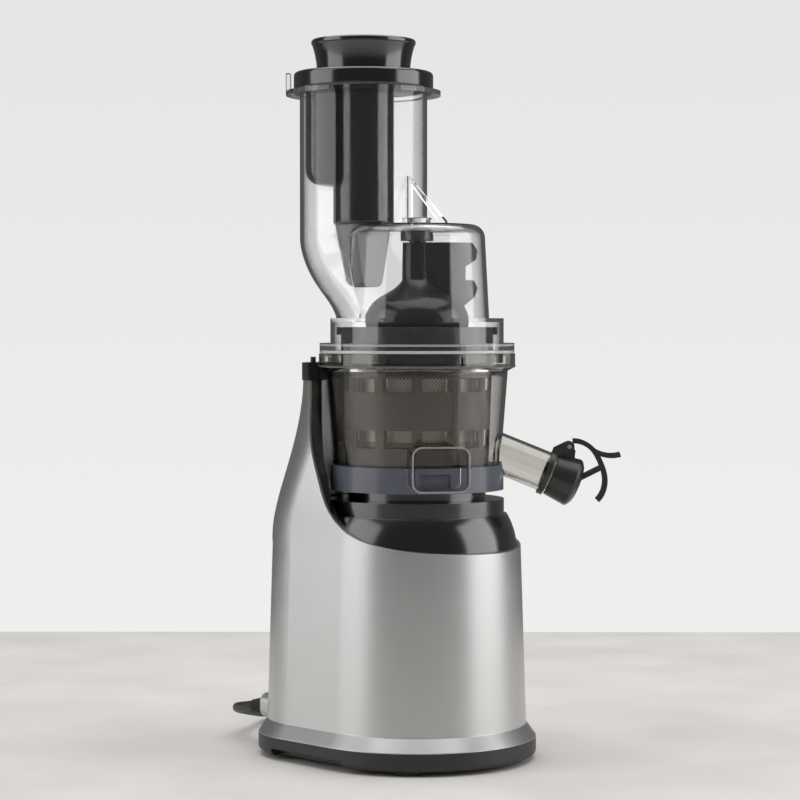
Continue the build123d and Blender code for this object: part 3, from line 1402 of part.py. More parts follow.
with BuildPart() as pusher:
    with BuildSketch(Plane.XZ.offset(-chute_centre)) as cap_profile:
        with BuildLine():
            Polyline((0, pusher_rest), (pusher_flange_radius, pusher_rest),
                     (pusher_flange_radius, flange_level), (pusher_waist_radius, flange_level))
            waist = ThreePointArc((pusher_waist_radius, flange_level),
                                  (pusher_waist_radius + 0.8, flange_level + 9),
                                  (pusher_cap_radius - 0.6, pusher_top - pusher_cap_band))
            Polyline(waist @ 1, (pusher_cap_radius, pusher_top - pusher_cap_band + 0.6),
                     (pusher_cap_radius, pusher_top - 0.8), (pusher_cap_radius - 0.8, pusher_top),
                     (0, pusher_top), (0, pusher_rest))
        make_face()
    revolve(cap_profile.sketch, axis=chute_axis)
    flange_edges = pusher.edges().filter_by(GeomType.CIRCLE).filter_by(
        lambda edge: abs(edge.radius - pusher_flange_radius) < slip)
    fillet(flange_edges, 2.5)
    with BuildSketch(Plane.XY.offset(pusher_body_bottom)) as front_body:
        with Locations((0, chute_centre)):
            Circle(pusher_body_radius)
    extrude(front_body.sketch, amount=pusher_rest - pusher_body_bottom)
    fillet(pusher.edges().group_by(Axis.Z)[0], pusher_body_corner)
    add(rear_body(0.0, pusher_rest))
    add(rear_body(pusher_wall, pusher_rest + pusher_wall), mode=Mode.SUBTRACT)
    inside = pusher_body_radius - pusher_wall
    disc(pusher_body_bottom, pusher_rest + pusher_wall, inside, (0, chute_centre),
         mode=Mode.SUBTRACT)
    disc(pusher_rest + pusher_wall, flange_level - pusher_wall, pusher_flange_radius - pusher_wall,
         (0, chute_centre), mode=Mode.SUBTRACT)
    disc(flange_level - pusher_wall, pusher_top - pusher_wall, pusher_waist_radius - pusher_wall,
         (0, chute_centre), mode=Mode.SUBTRACT)
save("pusher", pusher.part)

nose_top = pusher_body_bottom - slip
spigot_radius = inside - press
spigot_top = nose_top + 6

with BuildPart() as nose_hollow:
    with BuildSketch(Plane.XZ.offset(-chute_centre)) as hollow_profile:
        with BuildLine():
            Polyline((0, nose_bottom + nose_wall), (nose_tip_radius - nose_wall, nose_bottom + 3),
                     (inside - nose_wall, nose_top - nose_wall),
                     (inside - nose_wall, spigot_top + 1), (0, spigot_top + 1), close=True)
        make_face()
    revolve(hollow_profile.sketch, axis=chute_axis)
    block(nose_bottom, nose_top + nose_wall, 60, 40, (0, nose_front + nose_wall - 20),
          mode=Mode.SUBTRACT)

with BuildPart() as pusher_nose:
    with BuildSketch(Plane.XZ.offset(-chute_centre)) as nose_profile:
        with BuildLine():
            Polyline((0, nose_bottom), (nose_tip_radius - 4, nose_bottom),
                     (nose_tip_radius - 1.5, nose_bottom + 0.6), (nose_tip_radius, nose_bottom + 3),
                     (nose_top_radius, nose_top), (spigot_radius, nose_top),
                     (spigot_radius, spigot_top), (0, spigot_top), close=True)
        make_face()
    revolve(nose_profile.sketch, axis=chute_axis)
    block(nose_bottom - 1, nose_top, 60, 40, (0, nose_front - 20), mode=Mode.SUBTRACT)
    add(nose_hollow.part, mode=Mode.SUBTRACT)
save("pusher_nose", pusher_nose.part)
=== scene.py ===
"""Cold press juicer: finishes and fine pieces over the rigid frame, in metres.

+Z is up, -Y is the juicer's front and the origin is under its drive axis.
"""

import bmesh
import bpy
import numpy as np
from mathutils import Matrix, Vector


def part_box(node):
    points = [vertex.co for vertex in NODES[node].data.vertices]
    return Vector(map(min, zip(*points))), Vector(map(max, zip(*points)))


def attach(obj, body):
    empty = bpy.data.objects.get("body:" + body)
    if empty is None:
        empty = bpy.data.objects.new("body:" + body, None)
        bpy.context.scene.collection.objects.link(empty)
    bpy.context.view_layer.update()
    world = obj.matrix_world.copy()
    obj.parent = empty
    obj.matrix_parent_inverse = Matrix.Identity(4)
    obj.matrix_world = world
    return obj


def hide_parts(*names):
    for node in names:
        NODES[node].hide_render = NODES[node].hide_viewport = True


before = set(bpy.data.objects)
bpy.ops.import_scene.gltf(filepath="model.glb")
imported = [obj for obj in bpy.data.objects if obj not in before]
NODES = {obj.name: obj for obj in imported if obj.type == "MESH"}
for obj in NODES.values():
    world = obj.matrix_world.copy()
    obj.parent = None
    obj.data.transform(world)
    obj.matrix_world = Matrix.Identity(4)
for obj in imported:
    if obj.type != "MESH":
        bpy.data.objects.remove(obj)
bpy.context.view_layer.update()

bl_info = {
    "name": "Cold Press Juicer",
    "version": (1, 0, 0),
    "blender": (4, 5, 0),
    "location": "View3D > Sidebar > Juicer",
    "description": "Dresses the juicer's frame with finishes, lead and fine pieces",
    "category": "Object",
}

TURN = 2 * np.pi
COS_45 = 0.7071


# ------------------------------------------------------------------ materials
def new_material(name):
    """An empty node material with its Principled shader."""
    material = bpy.data.materials.new(name)
    material.use_nodes = True
    tree = material.node_tree
    return material, tree, tree.nodes["Principled BSDF"]


def node(tree, kind, **values):
    """A shader node with its properties or its input sockets set by name."""
    made = tree.nodes.new(kind)
    for key, value in values.items():
        if hasattr(made, key):
            setattr(made, key, value)
        else:
            made.inputs[key.replace("_", " ")].default_value = value
    return made


def noise(tree, scale, detail=3.0, stretch=(1, 1, 1)):
    """Noise on the object's own coordinates, stretched along an axis."""
    place = node(tree, "ShaderNodeTexCoord")
    turn = node(tree, "ShaderNodeMapping")
    turn.inputs["Scale"].default_value = stretch
    made = node(tree, "ShaderNodeTexNoise", Scale=scale, Detail=detail)
    tree.links.new(place.outputs["Object"], turn.inputs["Vector"])
    tree.links.new(turn.outputs["Vector"], made.inputs["Vector"])
    return made.outputs["Fac"]


NOISE_LOW, NOISE_HIGH = 0.3, 0.7


def between(tree, source, low, high):
    """The source's middle range spread from low to high."""
    made = node(tree, "ShaderNodeMapRange")
    made.inputs["From Min"].default_value = NOISE_LOW
    made.inputs["From Max"].default_value = NOISE_HIGH
    made.inputs["To Min"].default_value = low
    made.inputs["To Max"].default_value = high
    tree.links.new(source, made.inputs["Value"])
    return made.outputs["Result"]


def mottled(tree, source, colour, amount):
    """The colour, a little darker and lighter as the source says."""
    mix = node(tree, "ShaderNodeMix", data_type="RGBA")
    dark = [max(0.0, c * (1 - amount)) for c in colour]
    light = [min(1.0, c * (1 + amount)) for c in colour]
    mix.inputs[6].default_value = (*dark, 1)
    mix.inputs[7].default_value = (*light, 1)
    tree.links.new(between(tree, source, 0.0, 1.0), mix.inputs["Factor"])
    return mix.outputs[2]


def bumped(tree, shader, source, strength, distance, edge=0.0):
    """Relief from the source, over edges that are rounded by a small radius."""
    made = node(tree, "ShaderNodeBump", Strength=strength, Distance=distance)
    tree.links.new(source, made.inputs["Height"])
    if edge:
        rounded = node(tree, "ShaderNodeBevel", samples=4)
        rounded.inputs["Radius"].default_value = edge
        tree.links.new(rounded.outputs["Normal"], made.inputs["Normal"])
    tree.links.new(made.outputs["Normal"], shader.inputs["Normal"])


def moulded(name, colour, rough, spread=0.05, grain=2600.0, relief=0.03, metallic=0.0,
            stretch=(1, 1, 1), amount=0.04, edge=0.0004, coat=0.0, depth=0.00004, gloss=0.5):
    """A moulded, painted or machined surface with grain, mottle and worn gloss."""
    material, tree, shader = new_material(name)
    broad = noise(tree, 35.0, 4.0)
    fine = noise(tree, grain, 2.0, stretch)
    tree.links.new(mottled(tree, broad, colour, amount), shader.inputs["Base Color"])
    tree.links.new(between(tree, broad, rough - spread, rough + spread), shader.inputs["Roughness"])
    shader.inputs["Metallic"].default_value = metallic
    shader.inputs["Specular IOR Level"].default_value = gloss
    shader.inputs["Coat Weight"].default_value = coat
    shader.inputs["Coat Roughness"].default_value = rough
    bumped(tree, shader, fine, relief, depth, edge)
    return material


def see_through(name, colour, rough=0.02, spread=0.01, ior=1.5, wave=0.04, edge_shade=0.4):
    """Clear or tinted plastic with faint moulding waves, which lets lamps through.

    Where a wall is seen edge on, its colour is darkened as painted shade, standing in for the dark
    edges that refraction shows there.
    The colour falls to the edge shade share times itself there, by the third power of how far the
    wall turns from the view.
    """
    material, tree, shader = new_material(name)
    broad = noise(tree, 28.0, 2.0)
    shader.inputs["Transmission Weight"].default_value = 1.0
    shader.inputs["IOR"].default_value = ior
    facing = node(tree, "ShaderNodeLayerWeight", Blend=0.5)
    edge_on = node(tree, "ShaderNodeMath", operation="POWER")
    edge_on.inputs[1].default_value = 3.0
    # painted shade: the wall's colour is darkened where it is seen edge on, standing in for the
    # dark edges that refraction shows there
    depth = node(tree, "ShaderNodeMix", data_type="RGBA")
    depth.inputs[7].default_value = (*(edge_shade * c for c in colour), 1)
    tree.links.new(facing.outputs["Facing"], edge_on.inputs[0])
    tree.links.new(edge_on.outputs["Value"], depth.inputs["Factor"])
    tree.links.new(mottled(tree, broad, colour, 0.02), depth.inputs[6])
    tree.links.new(depth.outputs[2], shader.inputs["Base Color"])
    tree.links.new(between(tree, broad, rough, rough + spread), shader.inputs["Roughness"])
    bumped(tree, shader, broad, wave, 0.0004)
    path = node(tree, "ShaderNodeLightPath")
    film = node(tree, "ShaderNodeBsdfTransparent", Color=(*colour, 1))
    mix = node(tree, "ShaderNodeMixShader")
    tree.links.new(path.outputs["Is Shadow Ray"], mix.inputs["Fac"])
    tree.links.new(shader.outputs["BSDF"], mix.inputs[1])
    tree.links.new(film.outputs["BSDF"], mix.inputs[2])
    tree.links.new(mix.outputs["Shader"], tree.nodes["Material Output"].inputs["Surface"])
    return material


HOLE_RADIUS, HOLE_LIP = 0.22, 0.34  # both as shares of the holes' pitch
HOLE_COLOUR = (0.05, 0.04, 0.035, 1)


def perforated(name, colour, pitch):
    """Etched steel sheet: rows of dark round holes on the piece's own UV map."""
    material, tree, shader = new_material(name)
    place = node(tree, "ShaderNodeTexCoord")
    spread = node(tree, "ShaderNodeMapping")
    spread.inputs["Scale"].default_value = (1 / pitch, 1 / pitch, 1)
    cells = node(tree, "ShaderNodeTexVoronoi", voronoi_dimensions="2D", Scale=1.0, Randomness=0.0)
    tree.links.new(place.outputs["UV"], spread.inputs["Vector"])
    tree.links.new(spread.outputs["Vector"], cells.inputs["Vector"])
    edge = node(tree, "ShaderNodeMapRange")
    edge.inputs["From Min"].default_value = HOLE_RADIUS
    edge.inputs["From Max"].default_value = HOLE_LIP
    tree.links.new(cells.outputs["Distance"], edge.inputs["Value"])
    mix = node(tree, "ShaderNodeMix", data_type="RGBA")
    mix.inputs[6].default_value = HOLE_COLOUR
    mix.inputs[7].default_value = (*colour, 1)
    tree.links.new(edge.outputs["Result"], mix.inputs["Factor"])
    tree.links.new(mix.outputs[2], shader.inputs["Base Color"])
    shader.inputs["Metallic"].default_value = 0.6
    shader.inputs["Roughness"].default_value = 0.42
    bumped(tree, shader, edge.outputs["Result"], 0.4, 0.0002)
    return material


def dress(material, *names):
    """Gives CAD nodes a material on every slot."""
    for name in names:
        piece = NODES[name]
        if not piece.material_slots:
            piece.data.materials.append(material)
        for place in piece.material_slots:
            place.material = material


# ------------------------------------------------------------------ surfaces
def grid_mesh(name, points, closed_u=True, closed_v=False, smooth=True):
    """A mesh from a (rows, columns, 3) array, joined round along either way.

    Faces run over the grid's cells; a closed way wraps its last line to its first.
    """
    rows, columns = points.shape[:2]
    index = np.arange(rows * columns).reshape(rows, columns)
    down = np.roll(index, -1, 0) if closed_v else index[1:]
    upper = index if closed_v else index[:-1]
    right = np.roll(upper, -1, 1)
    low_right = np.roll(down, -1, 1)
    if not closed_u:
        upper, right, low_right, down = (a[:, :-1] for a in (upper, right, low_right, down))
    faces = np.stack([upper, right, low_right, down], -1).reshape(-1, 4)
    mesh = bpy.data.meshes.new(name)
    mesh.from_pydata(points.reshape(-1, 3).tolist(), [], faces.tolist())
    mesh.polygons.foreach_set("use_smooth", np.full(len(faces), smooth))
    mesh.update()
    piece = bpy.data.objects.new(name, mesh)
    bpy.context.scene.collection.objects.link(piece)
    return piece


def turned_grid(profile, turns):
    """Points of a profile turned round the drive axis.

    x = r cos(a), y = r sin(a), z = z, with a in equal steps of a full turn.
    """
    profile = np.asarray(profile, float)
    angle = np.arange(turns) * TURN / turns
    radius, height = profile[:, :1], profile[:, 1:]
    upright = np.broadcast_to(height, (len(profile), turns))
    return np.stack([radius * np.cos(angle), radius * np.sin(angle), upright], -1)


def outwards(piece):
    """Turns the faces of a closed piece to point outwards."""
    work = bmesh.new()
    work.from_mesh(piece.data)
    bmesh.ops.recalc_face_normals(work, faces=work.faces)
    work.to_mesh(piece.data)
    work.free()


# ------------------------------------------------------------------ settings
class JuicerSizes(bpy.types.PropertyGroup):
    """Sizes of the pieces that are made here, in metres."""

    lead_diameter: bpy.props.FloatProperty(
        name="Lead diameter", description="Outer diameter of the mains lead",
        default=0.0068, min=0.004, unit="LENGTH")
    coil_radius: bpy.props.FloatProperty(
        name="Coil radius", description="Radius at the middle of the coil's turns",
        default=0.0374, min=0.03, unit="LENGTH")
    mesh_pitch: bpy.props.FloatProperty(
        name="Hole pitch", description="Distance between the strainer's holes",
        default=0.0017, min=0.0005, unit="LENGTH")
    bead: bpy.props.FloatProperty(
        name="Bead", description="Thickness of the moulded beads on the bowl's collar",
        default=0.0007, min=0.0002, unit="LENGTH")


class JuicerColours(bpy.types.PropertyGroup):
    """Colours of the main finishes."""

    silver: bpy.props.FloatVectorProperty(
        name="Silver", description="Satin paint of the housing", subtype="COLOR",
        default=(0.56, 0.555, 0.55), min=0, max=1)
    smoke: bpy.props.FloatVectorProperty(
        name="Smoke", description="Tint of the juicing bowl", subtype="COLOR",
        default=(0.76, 0.745, 0.715), min=0, max=1)
    gloss_black: bpy.props.FloatVectorProperty(
        name="Gloss black", description="Seat cover and pusher", subtype="COLOR",
        default=(0.006, 0.006, 0.0063), min=0, max=1)
    stone: bpy.props.FloatVectorProperty(
        name="Stone", description="Worktop", subtype="COLOR",
        default=(0.86, 0.835, 0.805), min=0, max=1)


# ------------------------------------------------------------------ lead
LEAD_ROUTE = [
    (-0.0449, 0.1143, 0.0264),
    (-0.0439, 0.1271, 0.0242),
    (-0.0385, 0.1401, 0.0216),
    (-0.0282, 0.1517, 0.0186),
    (-0.0130, 0.1604, 0.0146),
    (0.0040, 0.1690, 0.0106),
    (0.0205, 0.1794, 0.0068),
    (0.0370, 0.1871, 0.0044),
    (0.0530, 0.1952, 0.0035),
]
TAIL_ROUTE = [
    (0.1192, 0.1590, 0.0102),
    (0.1188, 0.1475, 0.0101),
    (0.1153, 0.1365, 0.0092),
    (0.1114, 0.1257, 0.0079),
    (0.1104, 0.1145, 0.0072),
]
COIL_CENTRE = (0.075, 0.157)
COIL_TURNS = 4
COIL_START = np.radians(108)
COIL_OVERRUN = np.radians(84)
COIL_CLEARANCE = 0.0001
CLIMB_LEAD_IN = 0.05  # the part of a turn by which the step up starts early and ends late
POINTS_PER_TURN = 16


def coil_points(mean, diameter):
    """Points of the coil, clockwise from where the lead meets it.

    The angle falls from the start by four turns and the overrun. The radius goes in by one
    diameter a turn from the outer column for half of the turns, holds while the lead steps
    up one diameter, and goes out again by one diameter a turn. The step up is smooth:
    3 s squared less 2 s cubed, with s from 0 to 1.
    """
    outer, half = mean + diameter, COIL_TURNS / 2
    start, total = COIL_START, TURN * COIL_TURNS + COIL_OVERRUN
    count = int(POINTS_PER_TURN * total / TURN)
    gone = np.linspace(0, total, count) / TURN
    held = total / TURN - COIL_TURNS
    inward = outer - diameter * np.clip(gone, 0, half)
    outward = diameter * np.clip(gone - (half + held), 0, half)
    radius = inward + outward
    climb = np.clip((gone - (half - CLIMB_LEAD_IN)) / (held + 2 * CLIMB_LEAD_IN), 0, 1)
    height = diameter / 2 + diameter * climb * climb * (3 - 2 * climb) + COIL_CLEARANCE
    angle = start - TURN * gone
    return np.stack([COIL_CENTRE[0] + radius * np.cos(angle),
                     COIL_CENTRE[1] + radius * np.sin(angle), height], -1)


class JUICER_OT_lead(bpy.types.Operator):
    """Makes the mains lead: a smooth line from the strain relief through a coil to the plug"""

    bl_idname = "juicer.lead"
    bl_label = "Mains lead"

    def execute(self, context):
        sizes = context.scene.juicer_sizes
        points = [*LEAD_ROUTE, *coil_points(sizes.coil_radius, sizes.lead_diameter).tolist(),
                  *TAIL_ROUTE[1:]]
        curve = bpy.data.curves.new("mains_lead", "CURVE")
        curve.dimensions = "3D"
        curve.bevel_depth = sizes.lead_diameter / 2
        curve.bevel_resolution = 6
        curve.resolution_u = 8
        curve.use_fill_caps = True
        line = curve.splines.new("NURBS")
        line.points.add(len(points) - 1)
        for place, point in zip(line.points, points):
            place.co = (*point, 1)
        line.order_u = 3
        line.use_endpoint_u = True
        piece = bpy.data.objects.new("mains_lead", curve)
        context.scene.collection.objects.link(piece)
        curve.materials.append(moulded("lead_sheath", (0.028, 0.028, 0.029), 0.5, grain=900,
                                       relief=0.12, edge=0.0))
        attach(piece, "base")
        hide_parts("cord_lead", "cord_coil", "cord_tail")
        return {"FINISHED"}


# ------------------------------------------------------------------ small pieces
SLEEVE_ROOT = (-0.0460, 0.1005, 0.0288)
SLEEVE_INSIDE = 0.0145
SLEEVE_BEND = 0.0004  # how far inside the mouth the sleeve starts to turn
SLEEVE_ROOT_RADIUS, SLEEVE_TIP_RADIUS = 0.0052, 0.0043
SLEEVE_RINGS, SLEEVE_SIDES = 70, 48
SLEEVE_PLAY = 0.00005  # between the sleeve and the lead
GROOVE_PITCH, GROOVE_DEPTH = 0.0026, 0.0006
GROOVE_START, GROOVES_FROM, GROOVES_SHORT_OF = 0.0012, 0.0018, 0.0014
GROOVE_STEEPNESS = 2.2


class JUICER_OT_strain_relief(bpy.types.Operator):
    """Makes the strain relief: a tapered rubber sleeve with grooves round it"""

    bl_idname = "juicer.strain_relief"
    bl_label = "Strain relief"

    def execute(self, context):
        root, tip = np.array(SLEEVE_ROOT), np.array(LEAD_ROUTE[0])
        inward = np.array((0.0, -1.0, 0.0))
        length = np.linalg.norm(tip - root)
        outward = (tip - root) / length
        outside = np.linspace(0, length, SLEEVE_RINGS)
        along = np.concatenate([[-SLEEVE_INSIDE, -SLEEVE_BEND], outside])
        # The radius falls evenly from root to tip. Each groove takes the top of a wave off it.
        fall = SLEEVE_ROOT_RADIUS - SLEEVE_TIP_RADIUS
        taper = SLEEVE_ROOT_RADIUS - fall * np.clip(along, 0, None) / length
        wave = np.sin(TURN * (along - GROOVE_START) / GROOVE_PITCH) * GROOVE_STEEPNESS
        grooved = (along > GROOVES_FROM) & (along < length - GROOVES_SHORT_OF)
        radius = taper - GROOVE_DEPTH * np.clip(wave, 0, 1) * grooved
        centre = root + np.where(along[:, None] < 0, -along[:, None] * inward,
                                 along[:, None] * outward)
        lead_radius = context.scene.juicer_sizes.lead_diameter / 2
        bore = np.full(len(along), lead_radius + SLEEVE_PLAY)
        centre = np.concatenate([centre, centre[::-1]])
        radius = np.concatenate([radius, bore])
        side = np.array((1.0, 0.0, 0.0)) - outward * outward[0]
        side /= np.linalg.norm(side)
        up = np.cross(outward, side)
        angle = np.linspace(0, TURN, SLEEVE_SIDES, endpoint=False)[None, :, None]
        points = centre[:, None] + radius[:, None, None] * (np.cos(angle) * side
                                                             + np.sin(angle) * up)
        piece = grid_mesh("strain_relief_sleeve", points, closed_v=True)
        outwards(piece)
        piece.data.materials.append(bpy.data.materials["foot_rubber"])
        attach(piece, "base")
        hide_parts("strain_relief")
        return {"FINISHED"}


SCREEN_TAPER = 0.00187  # by how much the screen's foot is narrower than its top
SCREEN_THICKNESS = 0.0005
SCREEN_TURNS = 240


class JUICER_OT_strainer_screen(bpy.types.Operator):
    """Makes the etched screen inside the strainer's posts, with rows of holes"""

    bl_idname = "juicer.strainer_screen"
    bl_label = "Strainer screen"

    def execute(self, context):
        sizes = context.scene.juicer_sizes
        low, high = (np.array(corner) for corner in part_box("strainer_mesh"))
        top = (high[0] - low[0]) / 2
        foot = top - SCREEN_TAPER
        profile = [(foot, low[2]), (top, high[2]),
                   (top - SCREEN_THICKNESS, high[2]), (foot - SCREEN_THICKNESS, low[2])]
        points = turned_grid(profile, SCREEN_TURNS)
        piece = grid_mesh("strainer_screen", points, closed_v=True, smooth=False)
        outwards(piece)
        mesh = piece.data
        place = np.empty(len(mesh.vertices) * 3)
        mesh.vertices.foreach_get("co", place)
        place = place.reshape(-1, 3)
        corner = np.empty(len(mesh.loops), int)
        mesh.loops.foreach_get("vertex_index", corner)
        # Each hole row runs aslant: its two directions are the way round and the way up,
        # turned by 45 degrees. A face's angles are kept on one side of the half turn.
        angle = np.arctan2(place[corner, 1], place[corner, 0]).reshape(-1, 4)
        angle = np.where(angle - angle[:, :1] > np.pi, angle - TURN, angle)
        angle = np.where(angle - angle[:, :1] < -np.pi, angle + TURN, angle).reshape(-1)
        around = angle * (foot + top) / 2
        upward = place[corner, 2] - low[2]
        layer = mesh.uv_layers.new(name="UVMap")
        turned = np.stack([around + upward, around - upward], -1) * COS_45
        layer.data.foreach_set("uv", turned.reshape(-1))
        mesh.materials.append(perforated("etched_steel", (0.62, 0.56, 0.48), sizes.mesh_pitch))
        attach(piece, "bowl")
        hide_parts("strainer_mesh")
        return {"FINISHED"}


COLLAR_RADIUS = 0.0657
COLLAR_BEAD_HEIGHT, FLANGE_BEAD_HEIGHT = 0.2626, 0.2767
BEAD_SIDES, BEAD_TURNS = 12, 192
RING_PROUD, OUTLET_ACROSS, OUTLET_PROUD = 0.6, 0.8, 0.5  # shares of the bead's thickness
OUTLET_ANGLE = np.radians(237)
OUTLET_FACE = 0.075
OUTLET_CENTRE = 0.197
OUTLET_WIDTH, OUTLET_HEIGHT, OUTLET_CORNER = 0.038, 0.0295, 0.006


def rounded_frame(width, height, corner, steps=9):
    """Outward directions and points round a rectangle with rounded corners.

    Corner k runs from 90 k to 90 (k + 1) degrees about its own centre.
    """
    angle = np.radians(np.linspace(0, 90, steps) + 90 * np.arange(4)[:, None]).reshape(-1)
    normal = np.stack([np.cos(angle), np.sin(angle)], -1)
    sign = np.repeat([(1, 1), (-1, 1), (-1, -1), (1, -1)], steps, 0)
    return normal, sign * (np.array((width, height)) / 2 - corner) + corner * normal


class JUICER_OT_collar_beads(bpy.types.Operator):
    """Makes the fine moulded beads round the bowl's collar, the lid's flange and the outlet"""

    bl_idname = "juicer.collar_beads"
    bl_label = "Collar beads"

    def execute(self, context):
        bead = context.scene.juicer_sizes.bead
        low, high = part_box("lid")
        flange = (high[0] - low[0]) / 2
        turn = np.linspace(0, TURN, BEAD_SIDES, endpoint=False)
        # A ring's section is an oval. The outlet's bead carries one along its frame's outline.
        for name, body, radius, height, finish in (
            ("collar_bead", "bowl", COLLAR_RADIUS, COLLAR_BEAD_HEIGHT, "smoke"),
            ("flange_bead", "lid", flange, FLANGE_BEAD_HEIGHT, "clear"),
        ):
            ring = np.stack([radius + bead * RING_PROUD * np.cos(turn),
                             height + bead * np.sin(turn)], -1)
            piece = grid_mesh(name, turned_grid(ring, BEAD_TURNS), closed_v=True)
            outwards(piece)
            piece.data.materials.append(bpy.data.materials[finish])
            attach(piece, body)
        out = np.array((np.cos(OUTLET_ANGLE), np.sin(OUTLET_ANGLE), 0.0))
        side, up = np.array((-out[1], out[0], 0.0)), np.array((0.0, 0.0, 1.0))
        normal, edge = rounded_frame(OUTLET_WIDTH - bead, OUTLET_HEIGHT - bead, OUTLET_CORNER)
        across = bead * OUTLET_ACROSS * np.cos(turn)
        reach = edge[:, None] + normal[:, None] * across[None, :, None]
        raised = OUTLET_FACE + bead * OUTLET_PROUD * np.sin(turn)
        points = (reach[..., :1] * side + reach[..., 1:] * up + raised[None, :, None] * out
                  + OUTLET_CENTRE * up)
        piece = grid_mesh("outlet_bead", points, closed_v=True)
        outwards(piece)
        piece.data.materials.append(bpy.data.materials["clear"])
        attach(piece, "bowl")
        return {"FINISHED"}


# ------------------------------------------------------------------ finishes
class JUICER_OT_housing_finish(bpy.types.Operator):
    """Finishes the housing, base, seat cover, neck cap and feet"""

    bl_idname = "juicer.housing_finish"
    bl_label = "Housing finishes"

    def execute(self, context):
        colours = context.scene.juicer_colours
        dress(moulded("satin_silver", tuple(colours.silver), 0.34, spread=0.02, grain=520,
                      relief=0.16, metallic=0.9, stretch=(0.03, 0.03, 1), amount=0.015,
                      edge=0.0008), "housing_shell")
        dress(moulded("gloss_black", tuple(colours.gloss_black), 0.17, spread=0.03, relief=0.008,
                      edge=0.0008, coat=1.0, gloss=0.8), "seat_cover")
        dress(moulded("satin_black", (0.018, 0.018, 0.019), 0.38), "neck_cap", "interlock_pin",
              "interlock_switch", "power_switch")
        dress(moulded("base_black", (0.022, 0.021, 0.021), 0.45, grain=1800, relief=0.12,
                      edge=0.001), "base_plate")
        dress(moulded("foot_rubber", (0.02, 0.02, 0.02), 0.7, grain=900, relief=0.3), "feet",
              "motor_mounts", "output_seal")
        dress(moulded("silver_pad", (0.5, 0.5, 0.5), 0.3, metallic=0.8), "cord_gland")
        dress(moulded("rocker_black", (0.015, 0.015, 0.016), 0.22), "rocker")
        dress(moulded("plug_black", (0.02, 0.02, 0.021), 0.42, grain=1500, relief=0.15,
                      edge=0.0006), "mains_plug")
        return {"FINISHED"}


class JUICER_OT_drive_finish(bpy.types.Operator):
    """Finishes the motor, the gearbox and the electrics inside the housing"""

    bl_idname = "juicer.drive_finish"
    bl_label = "Drive finishes"

    def execute(self, context):
        steel = (0.45, 0.45, 0.46)
        dress(moulded("turned_steel", steel, 0.3, metallic=1.0, grain=2200, stretch=(1, 1, 0.1)),
              "rotor", "output_shaft", "countershaft", "motor_bearings", "output_bearings",
              "cap_hinge_pin")
        dress(moulded("hobbed_steel", (0.4, 0.4, 0.42), 0.38, metallic=1.0), "motor_pinion",
              "cluster_gear", "output_gear")
        dress(moulded("zinc_screws", (0.52, 0.52, 0.5), 0.35, metallic=1.0), "base_screws",
              "gearbox_screws", "motor_bolts")
        dress(moulded("laminations", (0.22, 0.22, 0.23), 0.5, metallic=0.8, grain=900,
                      stretch=(0.02, 0.02, 1), relief=0.5), "stator")
        dress(moulded("enamelled_copper", (0.5, 0.19, 0.08), 0.35, metallic=0.9, grain=700,
                      relief=0.5), "windings")
        dress(moulded("die_cast", (0.45, 0.45, 0.46), 0.55, metallic=0.9, relief=0.2),
              "motor_frames")
        dress(moulded("bronze_bush", (0.5, 0.33, 0.16), 0.4, metallic=1.0), "counter_bushes")
        dress(moulded("filled_nylon", (0.05, 0.05, 0.055), 0.5, relief=0.2), "gearbox_housing",
              "gearbox_cover", "cooling_fan")
        dress(moulded("capacitor_case", (0.5, 0.51, 0.53), 0.4), "run_capacitor")
        dress(moulded("board_green", (0.03, 0.14, 0.06), 0.35), "control_board")
        return {"FINISHED"}


class JUICER_OT_juicing_finish(bpy.types.Operator):
    """Finishes the bowl, spout, strainer, brush, auger, lid and pusher"""

    bl_idname = "juicer.juicing_finish"
    bl_label = "Juicing finishes"

    def execute(self, context):
        colours = context.scene.juicer_colours
        dress(see_through("smoke", tuple(colours.smoke), ior=1.5), "bowl")
        dress(see_through("clear", (0.95, 0.955, 0.955), ior=1.49, wave=0.02), "lid")
        dress(see_through("amber", (0.5, 0.41, 0.32), rough=0.12, spread=0.05), "strainer_frame")
        dress(moulded("bowl_grey", (0.105, 0.112, 0.14), 0.18, relief=0.01), "bowl_base",
              "pulp_packing")
        dress(moulded("warm_dark", (0.03, 0.0265, 0.025), 0.3, relief=0.02, edge=0.0006),
              "juice_cap", "cap_lever", "spout_ring", "lid_bush")
        dress(moulded("cage_brown", (0.06, 0.052, 0.045), 0.35, relief=0.04, edge=0.0004),
              "brush_cage", "idler_left", "idler_right", "auger_drive")
        dress(moulded("ring_dark", (0.028, 0.028, 0.03), 0.2, relief=0.01, edge=0.0006),
              "strainer_ring")
        dress(moulded("wiper_brown", (0.13, 0.105, 0.08), 0.5, relief=0.1), "brush_wipers")
        dress(moulded("seal_silicone", (0.55, 0.54, 0.52), 0.5, relief=0.05), "cap_seal",
              "lid_gasket", "bowl_shaft_seal")
        dress(moulded("auger_black", (0.014, 0.014, 0.0145), 0.16, relief=0.008,
                      edge=0.0006), "auger")
        dress(moulded("pusher_black", tuple(colours.gloss_black), 0.15, spread=0.02, relief=0.004,
                      edge=0.0006, coat=0.8, gloss=0.8), "pusher")
        dress(moulded("nose_grey", (0.2, 0.2, 0.21), 0.24, relief=0.02), "pusher_nose")
        return {"FINISHED"}


# ------------------------------------------------------------------ stage
AWAY = Vector((COS_45, COS_45, 0.0))
RIGHT = Vector((COS_45, -COS_45, 0.0))


def at(right, away, up):
    """A point from its distances to the right of the juicer, behind it and up."""
    return RIGHT * right + AWAY * away + Vector((0, 0, up))


FOCAL_PIXELS, FRAME_PIXELS = 2427, 800
SENSOR_WIDTH = 36.0
CAMERA_DISTANCE, CAMERA_HEIGHT = 1.626, 0.290
LOOK_RIGHT, LOOK_UP = -17, -75  # in pixels, where the lens points


